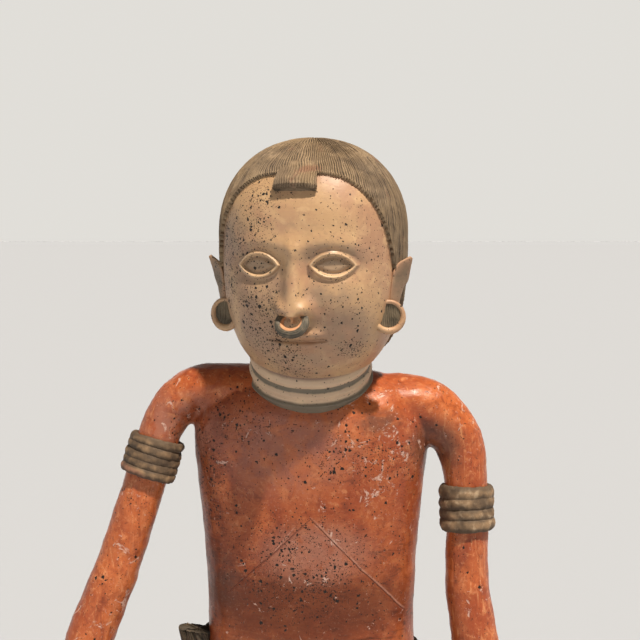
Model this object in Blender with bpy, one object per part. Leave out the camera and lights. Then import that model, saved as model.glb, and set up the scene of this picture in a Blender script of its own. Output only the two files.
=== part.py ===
"""A tall hollow-built clay figure of a man, hands on hips and thigh, standing on a low slab of the same clay.

It is one fired piece: torso, limbs, head, hair cap, ear ornaments, nose ring, arm bands, belt and slab are all
clay worked together before the firing, so they are one solid here. Metres, +Z up, the figure faces -Y, and the
origin is the middle of the slab's underside.
"""

import math

import bmesh
import bpy
from mathutils import Matrix, Vector

# Slab under the feet
SLAB_WIDTH = 0.262
SLAB_DEPTH = 0.196
SLAB_THICKNESS = 0.022
SLAB_EDGE = 0.006

# Lengths up the body
LEG_LENGTH = 0.148
TORSO_LENGTH = 0.315
HEAD_HEIGHT = 0.205

# Torso
TORSO_SETBACK = 0.010
WAIST_HALF_WIDTH = 0.0935
CHEST_HALF_WIDTH = 0.105
HIP_HALF_WIDTH = 0.095
TORSO_HALF_DEPTH = 0.054

# Legs and feet
LEG_SPACING = 0.098
THIGH_RADIUS = 0.044
ANKLE_RADIUS = 0.033
FOOT_LENGTH = 0.124
FOOT_WIDTH = 0.064
FOOT_HEIGHT = 0.036

# Arms. Right and left are the figure's own
SHOULDER_RADIUS = 0.0225
ARM_RADIUS = 0.0196
ELBOW_RADIUS = 0.0222
WRIST_RADIUS = 0.0150
HAND_LENGTH = 0.062
HAND_THICKNESS = 0.015
FINGER_RADIUS = 0.0056

# Coiled bands on the upper arms
BAND_PROUD = 0.0060
RIGHT_BAND_LENGTH = 0.034
RIGHT_BAND_COILS = 5
LEFT_BAND_LENGTH = 0.036
LEFT_BAND_COILS = 4

# Neck
NECK_HALF_WIDTH = 0.0515
NECK_HALF_DEPTH = 0.044
NECK_LEAN = math.radians(29)

# Head, measured over the bare skull
HEAD_WIDTH = 0.154
HEAD_DEPTH = 0.152
HEAD_TURN = math.radians(-12)
HEAD_FORWARD = 0.016

# Hair cap and the tuft over the brow
HAIR_THICKNESS = 0.0036
TUFT_WIDTH = 0.034
TUFT_THICKNESS = 0.0090

# Ears and their ornaments
EAR_LENGTH = 0.037
EAR_THICKNESS = 0.0062
ORNAMENT_RADIUS = 0.0146
ORNAMENT_COIL_RADIUS = 0.0028

# Nose ring
NOSE_RING_RADIUS = 0.0105
NOSE_RING_THICKNESS = 0.0044
NOSE_RING_TILT = math.radians(38)

# Belt and the cloth that hangs from it
BELT_RADIUS = 0.0095
APRON_WIDTH = 0.074
APRON_LENGTH = 0.096
APRON_THICKNESS = 0.0075
BUNDLE_WIDTH = 0.034
BUNDLE_HEIGHT = 0.041
BUNDLE_CORDS = 5

# Fineness of the clay surfaces: grid size while shapes are worked together, then triangles that are kept
BODY_GRID = 0.0028
FINE_GRID = 0.0013
BODY_TRIANGLES = 1560
HAND_TRIANGLES = 300
FOOT_TRIANGLES = 260
SKULL_TRIANGLES = 2150
CAP_TRIANGLES = 620

SLAB_TOP = SLAB_THICKNESS
CROTCH_Z = SLAB_TOP + LEG_LENGTH
SHOULDER_Z = CROTCH_Z + TORSO_LENGTH
CHIN_Z = SHOULDER_Z + 0.009
SHOULDER_REACH = CHEST_HALF_WIDTH - 0.002
SIDES = {"right": -1, "left": 1}


def smoothstep(low, high, value):
    share = min(1.0, max(0.0, (value - low) / (high - low)))
    return share * share * (3 - 2 * share)


def bump(distance, width):
    return math.exp(-((distance / width) ** 2))


def through(points, share):
    """The point at this share of a smooth curve through all the points."""
    place = min(0.999999, max(0.0, share)) * (len(points) - 1)
    index = int(place)
    t = place - index
    before = points[max(index - 1, 0)]
    start = points[index]
    end = points[index + 1]
    after = points[min(index + 2, len(points) - 1)]
    pull_in = (end - before) / 2
    pull_out = (after - start) / 2
    return (
        start * (2 * t**3 - 3 * t**2 + 1)
        + pull_in * (t**3 - 2 * t**2 + t)
        + end * (3 * t**2 - 2 * t**3)
        + pull_out * (t**3 - t**2)
    )


def superellipse(half_x, front, back, power, count):
    """Points round an oval, starting at the front. front and back are its reach towards -Y and +Y."""
    points = []
    for k in range(count):
        angle = 2 * math.pi * k / count
        sine, cosine = math.sin(angle), math.cos(angle)
        x = half_x * math.copysign(abs(sine) ** (2 / power), sine)
        reach = front if cosine > 0 else back
        y = -reach * math.copysign(abs(cosine) ** (2 / power), cosine)
        points.append((x, y))
    return points


def loft(shape, rings):
    """A closed skin over rings of points, the first and last of which are capped."""
    made = [[shape.verts.new(point) for point in ring] for ring in rings]
    count = len(made[0])
    for low, high in zip(made, made[1:]):
        for k in range(count):
            follow = (k + 1) % count
            shape.faces.new((low[k], low[follow], high[follow], high[k]))
    shape.faces.new(list(reversed(made[0])))
    shape.faces.new(made[-1])


def oval_column(shape, sections, power=2.3, count=48, steps=4):
    """A column from ovals (centre, half width, front, back), smoothed between them."""
    centres = [Vector(section[0]) for section in sections]
    reaches = [Vector(section[1:4]) for section in sections]
    rings = []
    last = (len(sections) - 1) * steps
    for k in range(last + 1):
        centre = through(centres, k / last)
        half, front, back = through(reaches, k / last)
        oval = superellipse(half, front, back, power, count)
        rings.append([centre + Vector((x, y, 0)) for x, y in oval])
    loft(shape, rings)


def tube_rings(points, radii, count, steps, up=Vector((0, 1, 0))):
    """Rings along a smooth path. Each radius is one number, or (across, along up) for an oval."""
    pairs = [Vector((r, r, 0)) if isinstance(r, float) else Vector((*r, 0)) for r in radii]
    path = [Vector(point) for point in points]
    rings = []
    last = (len(path) - 1) * steps
    for k in range(last + 1):
        here = through(path, k / last)
        ahead = through(path, min(1.0, (k + 0.5) / last)) - through(path, max(0.0, (k - 0.5) / last))
        ahead.normalize()
        side = ahead.cross(up).normalized()
        top = side.cross(ahead)
        wide, deep, _ = through(pairs, k / last)
        ring = []
        for j in range(count):
            angle = 2 * math.pi * j / count
            ring.append(here + side * wide * math.cos(angle) + top * deep * math.sin(angle))
        rings.append(ring)
    return rings


def tube(shape, points, radii, count=24, steps=6, up=Vector((0, 1, 0))):
    loft(shape, tube_rings(points, radii, count, steps, up))


def ball(shape, centre, radii, turn=None):
    place = Matrix.Translation(centre) @ (turn or Matrix.Identity(4))
    size = Matrix.Diagonal((*radii, 1))
    bmesh.ops.create_icosphere(shape, subdivisions=3, radius=1.0, matrix=place @ size)


def object_from(name, shape):
    """The drawn shape as an object, with its faces pointing out."""
    bmesh.ops.recalc_face_normals(shape, faces=shape.faces)
    mesh = bpy.data.meshes.new(name)
    shape.to_mesh(mesh)
    shape.free()
    made = bpy.data.objects.new(name, mesh)
    bpy.context.scene.collection.objects.link(made)
    return made


def settled(obj):
    """The object with its modifiers worked into its mesh."""
    graph = bpy.context.evaluated_depsgraph_get()
    mesh = bpy.data.meshes.new_from_object(obj.evaluated_get(graph))
    obj.modifiers.clear()
    obj.data = mesh
    return obj


def work_together(obj, grid, smoothing, triangles):
    """Overlapping lumps pressed into one skin, smoothed by hand, then given fewer facets."""
    press = obj.modifiers.new("press", "REMESH")
    press.mode = "VOXEL"
    press.voxel_size = grid
    if smoothing:
        smooth = obj.modifiers.new("smooth", "SMOOTH")
        smooth.factor = 0.5
        smooth.iterations = smoothing
    return with_fewer(settled(obj), triangles)


def with_fewer(obj, triangles):
    """The object with about this many triangles."""
    fewer = obj.modifiers.new("fewer", "DECIMATE")
    fewer.ratio = triangles / sum(len(face.vertices) - 2 for face in obj.data.polygons)
    fewer.use_collapse_triangulate = True
    return settled(obj)


# Body: torso, legs, feet, arms and hands

HIP_Z = CROTCH_Z + 0.036
WAIST_Z = CROTCH_Z + 0.115
CHEST_Z = SHOULDER_Z - 0.045


def add_torso(shape):
    deep = TORSO_HALF_DEPTH
    y = TORSO_SETBACK
    ribs = (WAIST_HALF_WIDTH + CHEST_HALF_WIDTH) / 2 - 0.002
    sections = [
        ((0, y, CROTCH_Z - 0.016), HIP_HALF_WIDTH * 0.50, deep * 0.55, deep * 0.60),
        ((0, y, CROTCH_Z + 0.004), HIP_HALF_WIDTH * 0.90, deep * 0.90, deep * 0.98),
        ((0, y, HIP_Z), HIP_HALF_WIDTH, deep * 1.02, deep * 1.06),
        ((0, y, (HIP_Z + WAIST_Z) / 2), (HIP_HALF_WIDTH + WAIST_HALF_WIDTH) / 2, deep * 1.04, deep),
        ((0, y, WAIST_Z), WAIST_HALF_WIDTH, deep * 1.02, deep * 0.92),
        ((0, y, (WAIST_Z + CHEST_Z) / 2), ribs, deep * 1.04, deep * 0.94),
        ((0, y, CHEST_Z), CHEST_HALF_WIDTH, deep * 1.10, deep),
        ((0, y, SHOULDER_Z - 0.018), CHEST_HALF_WIDTH * 0.95, deep * 1.07, deep * 0.94),
        ((0, y, SHOULDER_Z + 0.002), CHEST_HALF_WIDTH * 0.82, deep * 0.84, deep * 0.82),
        ((0, y, SHOULDER_Z + 0.015), CHEST_HALF_WIDTH * 0.52, deep * 0.48, deep * 0.60),
        ((0, y, SHOULDER_Z + 0.021), CHEST_HALF_WIDTH * 0.22, deep * 0.15, deep * 0.32),
    ]
    oval_column(shape, sections, power=2.35)


def add_leg(shape, side):
    x = side * LEG_SPACING / 2
    y = TORSO_SETBACK
    knee = (THIGH_RADIUS + ANKLE_RADIUS) / 2
    sections = [
        ((x * 1.10, y + 0.006, SLAB_TOP - 0.004), ANKLE_RADIUS * 0.98, ANKLE_RADIUS * 1.05, ANKLE_RADIUS * 1.10),
        ((x * 1.10, y + 0.006, SLAB_TOP + 0.016), ANKLE_RADIUS, ANKLE_RADIUS * 1.05, ANKLE_RADIUS * 1.08),
        ((x * 1.08, y + 0.004, SLAB_TOP + 0.046), ANKLE_RADIUS * 1.02, ANKLE_RADIUS, ANKLE_RADIUS * 1.12),
        ((x * 1.04, y, SLAB_TOP + LEG_LENGTH * 0.55), knee, knee * 1.04, knee * 1.08),
        ((x, y, CROTCH_Z - 0.024), THIGH_RADIUS, THIGH_RADIUS * 1.05, THIGH_RADIUS * 1.08),
        ((x * 0.96, y, CROTCH_Z + 0.022), THIGH_RADIUS * 0.96, THIGH_RADIUS, THIGH_RADIUS),
    ]
    oval_column(shape, sections, power=2.1, count=36)


def add_foot(shape, side):
    x = side * LEG_SPACING * 0.58
    heel = TORSO_SETBACK + 0.046
    stations = [(0.00, 0.60, 0.62), (0.10, 0.80, 0.92), (0.45, 0.84, 1.05), (0.75, 0.98, 0.70), (0.92, 0.94, 0.46)]
    rings = []
    for along, wide, high in stations:
        ring = []
        for px, pz in superellipse(FOOT_WIDTH / 2 * wide, FOOT_HEIGHT * high, FOOT_HEIGHT * high, 2.4, 28):
            pz = pz - 0.003 if pz > 0 else -0.006
            ring.append(Vector((x + px, heel - along * FOOT_LENGTH, SLAB_TOP + pz)))
        rings.append(ring)
    loft(shape, rings)
    for toe in range(5):
        share = (toe - 2) / 2
        inner = -side * share
        reach = 0.95 + 0.035 * inner
        radius = FOOT_WIDTH * (0.098 + 0.012 * inner)
        centre = (x + share * FOOT_WIDTH * 0.385, heel - FOOT_LENGTH * reach, SLAB_TOP + radius * 0.85)
        ball(shape, centre, (radius, radius * 1.7, radius * 1.05))


HAND_WAYS = {
    SIDES["right"]: Vector((0.90, -0.14, -0.40)).normalized(),
    SIDES["left"]: Vector((-0.52, -0.13, -0.84)).normalized(),
}


def arm_path(side):
    """Middle line from inside the shoulder to the wrist. The right arm swings out, and the left hangs straight."""
    chest, hip = SHOULDER_REACH, HIP_HALF_WIDTH
    hand_y = TORSO_SETBACK - TORSO_HALF_DEPTH * 0.78
    if side == SIDES["right"]:
        drop = 0.0
        at_band = (-chest - 0.037, -0.002, SHOULDER_Z - 0.061)
        below_band = (-chest - 0.067, -0.010, CROTCH_Z + 0.160)
        elbow = (-chest - 0.095, -0.020, CROTCH_Z + 0.077)
        inner = (-hip - 0.071, hand_y + 0.004, CROTCH_Z + 0.052)
        wrist = (-hip - 0.025, hand_y, CROTCH_Z + 0.046)
    else:
        drop = -0.014
        at_band = (chest + 0.0350, -0.004, SHOULDER_Z - 0.106)
        below_band = (chest + 0.0355, -0.012, CROTCH_Z + 0.140)
        elbow = (chest + 0.044, -0.022, CROTCH_Z + 0.066)
        inner = (hip + 0.037, hand_y + 0.004, CROTCH_Z + 0.038)
        wrist = (hip + 0.010, hand_y + 0.002, CROTCH_Z + 0.014)
    x = side * SHOULDER_REACH
    return [
        Vector((x * 0.45, TORSO_SETBACK, SHOULDER_Z - 0.002 + drop)),
        Vector((x * 0.90, TORSO_SETBACK * 0.8, SHOULDER_Z - 0.001 + drop * 1.1)),
        Vector((x * 1.12, TORSO_SETBACK * 0.5, SHOULDER_Z - 0.012 + drop * 1.2)),
        Vector((x * (1.27 if side < 0 else 1.29), 0.002, SHOULDER_Z - 0.033 + drop * 1.5)),
        Vector(at_band),
        Vector(below_band),
        Vector(elbow),
        Vector(inner),
        Vector(wrist),
        Vector(wrist) + HAND_WAYS[side] * 0.014,
    ]


def arm_radii(side):
    """Across and along the depth of the arm at each point of its path. The left shoulder is the thicker one."""
    thick = 1.0 if side == SIDES["right"] else 1.22
    return [
        (SHOULDER_RADIUS * thick, SHOULDER_RADIUS * 1.7),
        (SHOULDER_RADIUS * thick, SHOULDER_RADIUS * 1.35),
        (SHOULDER_RADIUS * 0.96 * thick, SHOULDER_RADIUS * 1.1),
        (SHOULDER_RADIUS * 0.90 * (1 + thick) / 2, SHOULDER_RADIUS * 0.95),
        (ARM_RADIUS, ARM_RADIUS),
        (ARM_RADIUS * 1.05, ARM_RADIUS * 1.05),
        (ELBOW_RADIUS, ELBOW_RADIUS),
        (ELBOW_RADIUS * 0.92, ELBOW_RADIUS * 0.92),
        (WRIST_RADIUS, WRIST_RADIUS),
        (WRIST_RADIUS * 0.62, WRIST_RADIUS * 0.55),
    ]


BAND_STATION = 4


def add_arm(shape, side):
    tube(shape, arm_path(side), arm_radii(side), count=28, steps=6)


def hand_frame(side):
    """Where the hand starts, the way it points and the way its back faces."""
    start = arm_path(side)[-2]
    ahead = HAND_WAYS[side]
    outward = Vector((0.30 * side, -1.0, 0.1))
    back = (outward - ahead * outward.dot(ahead)).normalized()
    across = ahead.cross(back)
    return start, ahead, back, across


def add_hand(shape, side):
    start, ahead, back, across = hand_frame(side)
    thick = HAND_THICKNESS / 2
    palm = HAND_LENGTH * 0.5
    half = FINGER_RADIUS * 3.6
    tube(
        shape,
        [start - ahead * 0.006, start + ahead * palm * 0.35, start + ahead * palm],
        [(WRIST_RADIUS * 0.80, WRIST_RADIUS * 0.75), (half * 0.85, thick * 1.25), (half, thick)],
        up=back,
    )
    for finger in range(4):
        offset = (finger - 1.5) * FINGER_RADIUS * 1.85
        length = HAND_LENGTH * (0.50 - 0.045 * abs(finger - 1.3))
        root = start + ahead * palm * 0.85 + across * offset
        curl = -back * 0.006
        tube(
            shape,
            [root, root + ahead * length * 0.6 + curl * 0.2, root + ahead * length + curl],
            [FINGER_RADIUS, FINGER_RADIUS * 1.02, FINGER_RADIUS * 0.8],
            count=12,
            up=back,
        )
    thumb_side = 1.0 if across.z > 0 else -1.0
    root = start + ahead * palm * 0.25 + across * thumb_side * half * 0.7
    tip = root + (ahead * 0.72 + across * thumb_side * 0.7) * HAND_LENGTH * 0.42
    radii = [FINGER_RADIUS * 1.1, FINGER_RADIUS * 1.1, FINGER_RADIUS * 0.85]
    tube(shape, [root, (root + tip) / 2, tip], radii, count=12, up=back)


def build_body():
    """The torso with its legs and arms, then each foot and hand."""
    shape = bmesh.new()
    add_torso(shape)
    for side in SIDES.values():
        add_leg(shape, side)
        add_arm(shape, side)
    parts = [work_together(object_from("body", shape), BODY_GRID, 6, BODY_TRIANGLES)]
    for side in SIDES.values():
        shape = bmesh.new()
        add_foot(shape, side)
        parts.append(work_together(object_from("foot", shape), FINE_GRID, 3, FOOT_TRIANGLES))
        shape = bmesh.new()
        add_hand(shape, side)
        parts.append(work_together(object_from("hand", shape), FINE_GRID, 3, HAND_TRIANGLES))
    return parts


# Head: skull with a face in low relief, neck, hair cap, ears, ornaments and nose ring

def skull_profile(height):
    """Half width, front and back reach of the skull at a height from 0 at the chin to 1 at the crown."""
    widest = 0.62
    above = max(0.0, (height - widest) / (1 - widest))
    below = max(0.0, (widest - height) / widest)
    dome = max(0.0, 1 - above**2.15) ** (1 / 2.15)
    jaw = max(0.0, 1 - below**3.0) ** (1 / 2.5)
    nape = max(0.0, 1 - below**2.0) ** (1 / 2.0)
    half = HEAD_WIDTH / 2 * dome * jaw
    front = HEAD_DEPTH * 0.505 * dome * (jaw * 0.90 + 0.10 * min(1.0, jaw * 2))
    back = HEAD_DEPTH * 0.495 * dome * nape
    return half, front, back


SKULL_POWER = 2.25


def skull_point(angle, height):
    """A point of the bare skull in the head's frame: chin at the origin, face towards -Y, angle 0 in front."""
    half, front, back = skull_profile(height)
    sine, cosine = math.sin(angle), math.cos(angle)
    x = half * math.copysign(abs(sine) ** (2 / SKULL_POWER), sine)
    reach = front if cosine > 0 else back
    y = -reach * math.copysign(abs(cosine) ** (2 / SKULL_POWER), cosine)
    return Vector((x, y, height * HEAD_HEIGHT))


# The face is set out by the usual rule: eyes half way up the head, brow, nose base and chin at even thirds.
# FACE_MM is one millimetre at the head's own size, so the whole face follows the head
FACE_MM = HEAD_HEIGHT / 205
EYE_HEIGHT = HEAD_HEIGHT * 0.50
BROW_HEIGHT = HEAD_HEIGHT * 0.585
NOSE_HEIGHT = HEAD_HEIGHT * 0.305
MOUTH_HEIGHT = HEAD_HEIGHT * 0.200
EYE_HALF_WIDTH = 15.4
EYE_HALF_HEIGHT = 7.7
EYE_OUT = 30.8
LID_WIDTH = 1.9
LID_PROUD = 3.6


def almond_distance(x, z):
    """How far a point lies outside the almond outline of an eye centred at the origin."""
    offset = (EYE_HALF_WIDTH**2 - EYE_HALF_HEIGHT**2) / (2 * EYE_HALF_HEIGHT)
    radius = EYE_HALF_HEIGHT + offset
    return max(math.hypot(x, z + offset), math.hypot(x, z - offset)) - radius


def face_relief(side, above_eyes, below_brow, above_nose, above_mouth, above_chin):
    """How far the face stands forward of the skull. All of it is in millimetres at the head's own size."""
    out = 2.6 * bump(below_brow - 0.008 * (side - 28) ** 2, 8) * smoothstep(60, 45, side)
    out -= 4.6 * bump(side - EYE_OUT, 21) * bump(above_eyes, 12.5)
    edge = almond_distance(side - EYE_OUT, above_eyes)
    out += LID_PROUD * bump(edge - 1.3, LID_WIDTH)
    out += 2.4 * smoothstep(0, -5, edge)
    out += 3.5 * bump(side - 40, 20) * bump(above_eyes + 28.7, 18.5)
    out += 4.0 * bump(side, 17) * bump(above_chin - 15.4, 11.3)
    share = below_brow / (below_brow + above_nose)
    if share > -0.25:
        rise = min(1.0, max(0.0, share))
        project = 3.0 * smoothstep(-0.25, 0.1, share) + 15.0 * rise**1.35
        under = smoothstep(-4.2, 0.5, above_nose)
        ridge = math.exp(-((side / (6.6 + 4.6 * rise**2)) ** 2.6))
        wing = 8.2 * bump(side - 11.2, 5.2) * bump(above_nose - 6.2, 6.4)
        out += (project * ridge + wing) * under
    lip = above_mouth - 0.00144 * side * side
    out += 3.2 * bump(lip - 4.8, 3.8) * smoothstep(26.5, 16, side)
    out += 3.6 * bump(lip + 5.2, 4.4) * smoothstep(22, 12, side)
    out -= 2.2 * bump(lip, 1.5) * smoothstep(27.5, 22, side)
    return out


def face_point(angle, height):
    point = skull_point(angle, height)
    facing = smoothstep(0.10, 0.45, math.cos(angle))
    if facing and 0.02 < height < 0.80:
        relief = face_relief(
            abs(point.x) / FACE_MM,
            (point.z - EYE_HEIGHT) / FACE_MM,
            (BROW_HEIGHT - point.z) / FACE_MM,
            (point.z - NOSE_HEIGHT) / FACE_MM,
            (point.z - MOUTH_HEIGHT) / FACE_MM,
            point.z / FACE_MM,
        )
        point.y -= relief * FACE_MM * facing
    return point


HAIRLINE_EAR = math.radians(70)
HAIRLINE_TOP = HEAD_HEIGHT * 0.853
HAIRLINE_DROP = HEAD_HEIGHT * 0.370
NAPE_HEIGHT = HEAD_HEIGHT * 0.14


def hairline(angle):
    """Height of the cap's edge: a high arch over the face, then down behind the ears to the nape."""
    around = abs(math.atan2(math.sin(angle), math.cos(angle)))
    beside = HAIRLINE_TOP - HAIRLINE_DROP * min(1.0, around / HAIRLINE_EAR) ** 3.55
    low = smoothstep(HAIRLINE_EAR, math.pi * 0.66, around)
    return (beside + (NAPE_HEIGHT - beside) * low) / HEAD_HEIGHT


def polar_heights(edge, rows):
    """Heights from just under the crown down to the edge, close together where the dome is flat."""
    top = 0.9995
    span = math.sqrt(1 - edge) - math.sqrt(1 - top)
    return [1 - (math.sqrt(1 - top) + span * k / rows) ** 2 for k in range(rows + 1)]


def swollen(point, amount):
    """The point moved away from the middle of the skull."""
    middle = Vector((0, 0, HEAD_HEIGHT * 0.55))
    return point + (point - middle).normalized() * amount


def add_skull(shape):
    """The skull as rings that lie close together over the face, with their points gathered to its front."""
    low, high, count = 0.13, 0.66, 144
    heights = [0.0003 + low * (k / 14) ** 2 for k in range(14)]
    heights += [low + (high - low) * k / 80 for k in range(80)]
    heights += [1 - (1 - high) * (1 - k / 20.4) ** 2 for k in range(21)]
    turns = [2 * math.pi * k / count for k in range(count)]
    angles = [turn - 0.62 * math.sin(turn) for turn in turns]
    loft(shape, [[face_point(angle, height) for angle in angles] for height in heights])


def add_hair_cap(shape):
    count, rows = 84, 27
    angles = [2 * math.pi * k / count for k in range(count)]
    columns = [polar_heights(hairline(angle), rows) for angle in angles]
    rings = []
    for row in range(rows + 1):
        ring = []
        for angle, heights in zip(angles, columns):
            ring.append(swollen(skull_point(angle, heights[row]), HAIR_THICKNESS))
        rings.append(ring)
    for row in reversed(range(0, rows + 1, 3)):
        ring = []
        for angle, heights in zip(angles, columns):
            ring.append(swollen(skull_point(angle, heights[row]), -0.0045))
        rings.append(ring)
    loft(shape, rings)


def add_tuft(shape):
    """The short fringe over the middle of the brow, thick and blunt at its end."""
    rings = []
    for height, thick, spread in ((0.90, 0.30, 0.94), (0.86, 0.46, 0.96), (0.82, 0.85, 1.0), (0.787, 0.95, 1.02)):
        ring = []
        reach = TUFT_WIDTH / 2 * spread / skull_profile(height)[0]
        half_angle = math.asin(reach ** (SKULL_POWER / 2))
        for k in range(9):
            share = k / 4 - 1
            rounded = 1 - 0.25 * abs(share) ** 4
            ring.append(swollen(skull_point(share * half_angle, height), TUFT_THICKNESS * thick * rounded))
        for k in reversed(range(9)):
            ring.append(swollen(skull_point((k / 4 - 1) * half_angle, height), -0.004))
        rings.append(ring)
    loft(shape, rings)


EAR_HEIGHT = HEAD_HEIGHT * 0.428
EAR_ANGLE = math.radians(73)
ORNAMENT_DROP = 0.0155


def ear_foot(side):
    """Where the ear's lobe meets the head."""
    return skull_point(side * EAR_ANGLE, (EAR_HEIGHT - EAR_LENGTH * 0.36) / HEAD_HEIGHT)


def add_ear(shape, side):
    """A thin flap that stands off the head, with a pointed tip turned outwards."""
    lobe = ear_foot(side)
    top = skull_point(side * EAR_ANGLE, (EAR_HEIGHT + EAR_LENGTH * 0.36) / HEAD_HEIGHT)
    out = Vector((side, 0, 0))
    points = [
        lobe + out * 0.001 + Vector((0, 0, -0.004)),
        lobe + out * 0.003 + Vector((0, 0.001, 0.010)),
        (lobe + top) / 2 + out * 0.004 + Vector((0, 0.003, 0.004)),
        top + out * 0.006 + Vector((0, 0.004, -0.002)),
        top + out * 0.013 + Vector((0, 0.005, 0.007)),
    ]
    half = EAR_THICKNESS / 2
    radii = [(0.0060, half), (0.0075, half), (0.0095, half), (0.0082, half * 0.9), (0.0016, half * 0.5)]
    tube(shape, points, radii, count=12, steps=3, up=Vector((0.80, -side * 0.60, 0)))


def ornament_frame(side):
    """Middle of the ornament, and its directions across, up and out of its face."""
    middle = ear_foot(side) + Vector((-side * 0.002, -0.008, -ORNAMENT_DROP))
    turned = side * math.radians(18)
    across = Vector((math.cos(turned), math.sin(turned), 0))
    return middle, across, Vector((0, 0, 1)), Vector((math.sin(turned), -math.cos(turned), 0))


ORNAMENT_FACETS = 24


def add_ornament_coil(shape, side):
    """The coil round the ear ornament, which hangs from the lobe and faces forward."""
    middle, across, up, facing = ornament_frame(side)
    ring_radius = ORNAMENT_RADIUS - ORNAMENT_COIL_RADIUS
    sides = 6
    loops = []
    for k in range(ORNAMENT_FACETS):
        angle = 2 * math.pi * k / ORNAMENT_FACETS
        spoke = across * math.cos(angle) + up * math.sin(angle)
        loop = []
        for j in range(sides):
            turn = 2 * math.pi * j / sides
            reach = ring_radius + ORNAMENT_COIL_RADIUS * math.cos(turn)
            loop.append(shape.verts.new(middle + spoke * reach + facing * ORNAMENT_COIL_RADIUS * math.sin(turn)))
        loops.append(loop)
    for k in range(ORNAMENT_FACETS):
        here, ahead = loops[k], loops[(k + 1) % ORNAMENT_FACETS]
        for j in range(sides):
            follow = (j + 1) % sides
            shape.faces.new((here[j], here[follow], ahead[follow], ahead[j]))


def add_ornament_disc(shape, side):
    """The sunken disc that closes the coil."""
    middle, across, up, facing = ornament_frame(side)
    ring_radius = ORNAMENT_RADIUS - ORNAMENT_COIL_RADIUS
    rings = []
    for depth in (-0.0020, 0.0008):
        ring = []
        for k in range(ORNAMENT_FACETS):
            angle = 2 * math.pi * k / ORNAMENT_FACETS
            spoke = across * math.cos(angle) + up * math.sin(angle)
            ring.append(middle + spoke * (ring_radius + 0.0004) + facing * depth)
        rings.append(ring)
    loft(shape, rings)


def add_nose_ring(shape):
    """A thick crescent whose ends go up into the nostrils."""
    surface = skull_point(0, NOSE_HEIGHT / HEAD_HEIGHT).y
    middle = Vector((0, surface - 9.5 * FACE_MM, NOSE_HEIGHT - 5.0 * FACE_MM))
    lean, rise = math.sin(NOSE_RING_TILT), math.cos(NOSE_RING_TILT)
    points, radii = [], []
    for k in range(9):
        share = k / 4 - 1
        angle = math.radians(-90 + 148 * share)
        spoke = Vector((math.cos(angle), lean * math.sin(angle), rise * math.sin(angle)))
        points.append(middle + spoke * NOSE_RING_RADIUS)
        radii.append(NOSE_RING_THICKNESS * (1 - 0.35 * share * share))
    tube(shape, points, radii, count=8, steps=2, up=Vector((0, -1, 0)))


def head_place():
    chin = Matrix.Translation((0.003, TORSO_SETBACK - HEAD_FORWARD - 0.012, CHIN_Z))
    return chin @ Matrix.Rotation(HEAD_TURN, 4, "Z")


NECK_RINGS = ((0.10, 1.060), (0.19, 1.000), (0.36, 1.045), (0.50, 0.985), (0.68, 1.025), (0.84, 0.965), (1.0, 0.96))
NECK_LENGTH = 0.036
NECK_FACETS = 32


def add_neck(shape):
    """A leaning oval neck with raised rings between painted grooves."""
    foot = Vector((0, TORSO_SETBACK - 0.019, SHOULDER_Z + 0.010))
    ahead = Vector((0, -math.sin(NECK_LEAN), math.cos(NECK_LEAN)))
    across = Vector((1, 0, 0))
    depth = ahead.cross(across)
    rings = []
    for share, size in ((-1.2, 0.90), (-0.25, 1.0), (0.0, 1.04)) + NECK_RINGS + ((1.7, 0.88),):
        ring = []
        for k in range(NECK_FACETS):
            angle = 2 * math.pi * k / NECK_FACETS
            ring.append(
                foot
                + ahead * NECK_LENGTH * share
                + across * NECK_HALF_WIDTH * size * math.cos(angle)
                + depth * NECK_HALF_DEPTH * size * math.sin(angle)
            )
        rings.append(ring)
    loft(shape, rings)


def head_part(name, add, *side):
    """One lump of the head, drawn in the head's own frame and put in its place."""
    shape = bmesh.new()
    add(shape, *side)
    bmesh.ops.transform(shape, matrix=head_place(), verts=shape.verts)
    return object_from(name, shape)


def build_head():
    """The skull, the hair cap and its tuft, the ears with their ornaments, the nose ring and the neck."""
    parts = [
        with_fewer(head_part("skull", add_skull), SKULL_TRIANGLES),
        with_fewer(head_part("hair_cap", add_hair_cap), CAP_TRIANGLES),
        head_part("tuft", add_tuft),
        head_part("nose_ring", add_nose_ring),
    ]
    for side in SIDES.values():
        parts.append(head_part("ear", add_ear, side))
        parts.append(head_part("ornament_coil", add_ornament_coil, side))
        parts.append(head_part("ornament_disc", add_ornament_disc, side))
    shape = bmesh.new()
    add_neck(shape)
    parts.append(object_from("neck", shape))
    return parts


# Arm bands, belt, apron and slab

def build_band(side, length, coils):
    """A strip of clay coils wound round the upper arm."""
    path = arm_path(side)
    last = len(path) - 1
    middle = through(path, BAND_STATION / last)
    ahead = (through(path, (BAND_STATION + 0.3) / last) - through(path, (BAND_STATION - 0.3) / last)).normalized()
    across = ahead.cross(Vector((0, 1, 0))).normalized()
    depth = across.cross(ahead)
    crest = ARM_RADIUS + BAND_PROUD
    profile = [(-0.5, ARM_RADIUS - 0.003)]
    for coil in range(coils):
        start = -0.5 + coil / coils
        profile.append((start + 0.05 / coils, crest - 0.0018))
        profile.append((start + 0.5 / coils, crest))
    profile += [(0.5 - 0.05 / coils, crest - 0.0018), (0.5, ARM_RADIUS - 0.003)]
    count = 18
    shape = bmesh.new()
    rings = []
    for share, radius in profile:
        ring = []
        for k in range(count):
            angle = 2 * math.pi * k / count
            spoke = across * math.cos(angle) + depth * math.sin(angle)
            ring.append(middle + ahead * length * share + spoke * radius)
        rings.append(ring)
    loft(shape, rings)
    return object_from("band", shape)


BELT_Z = CROTCH_Z + 0.072


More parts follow.
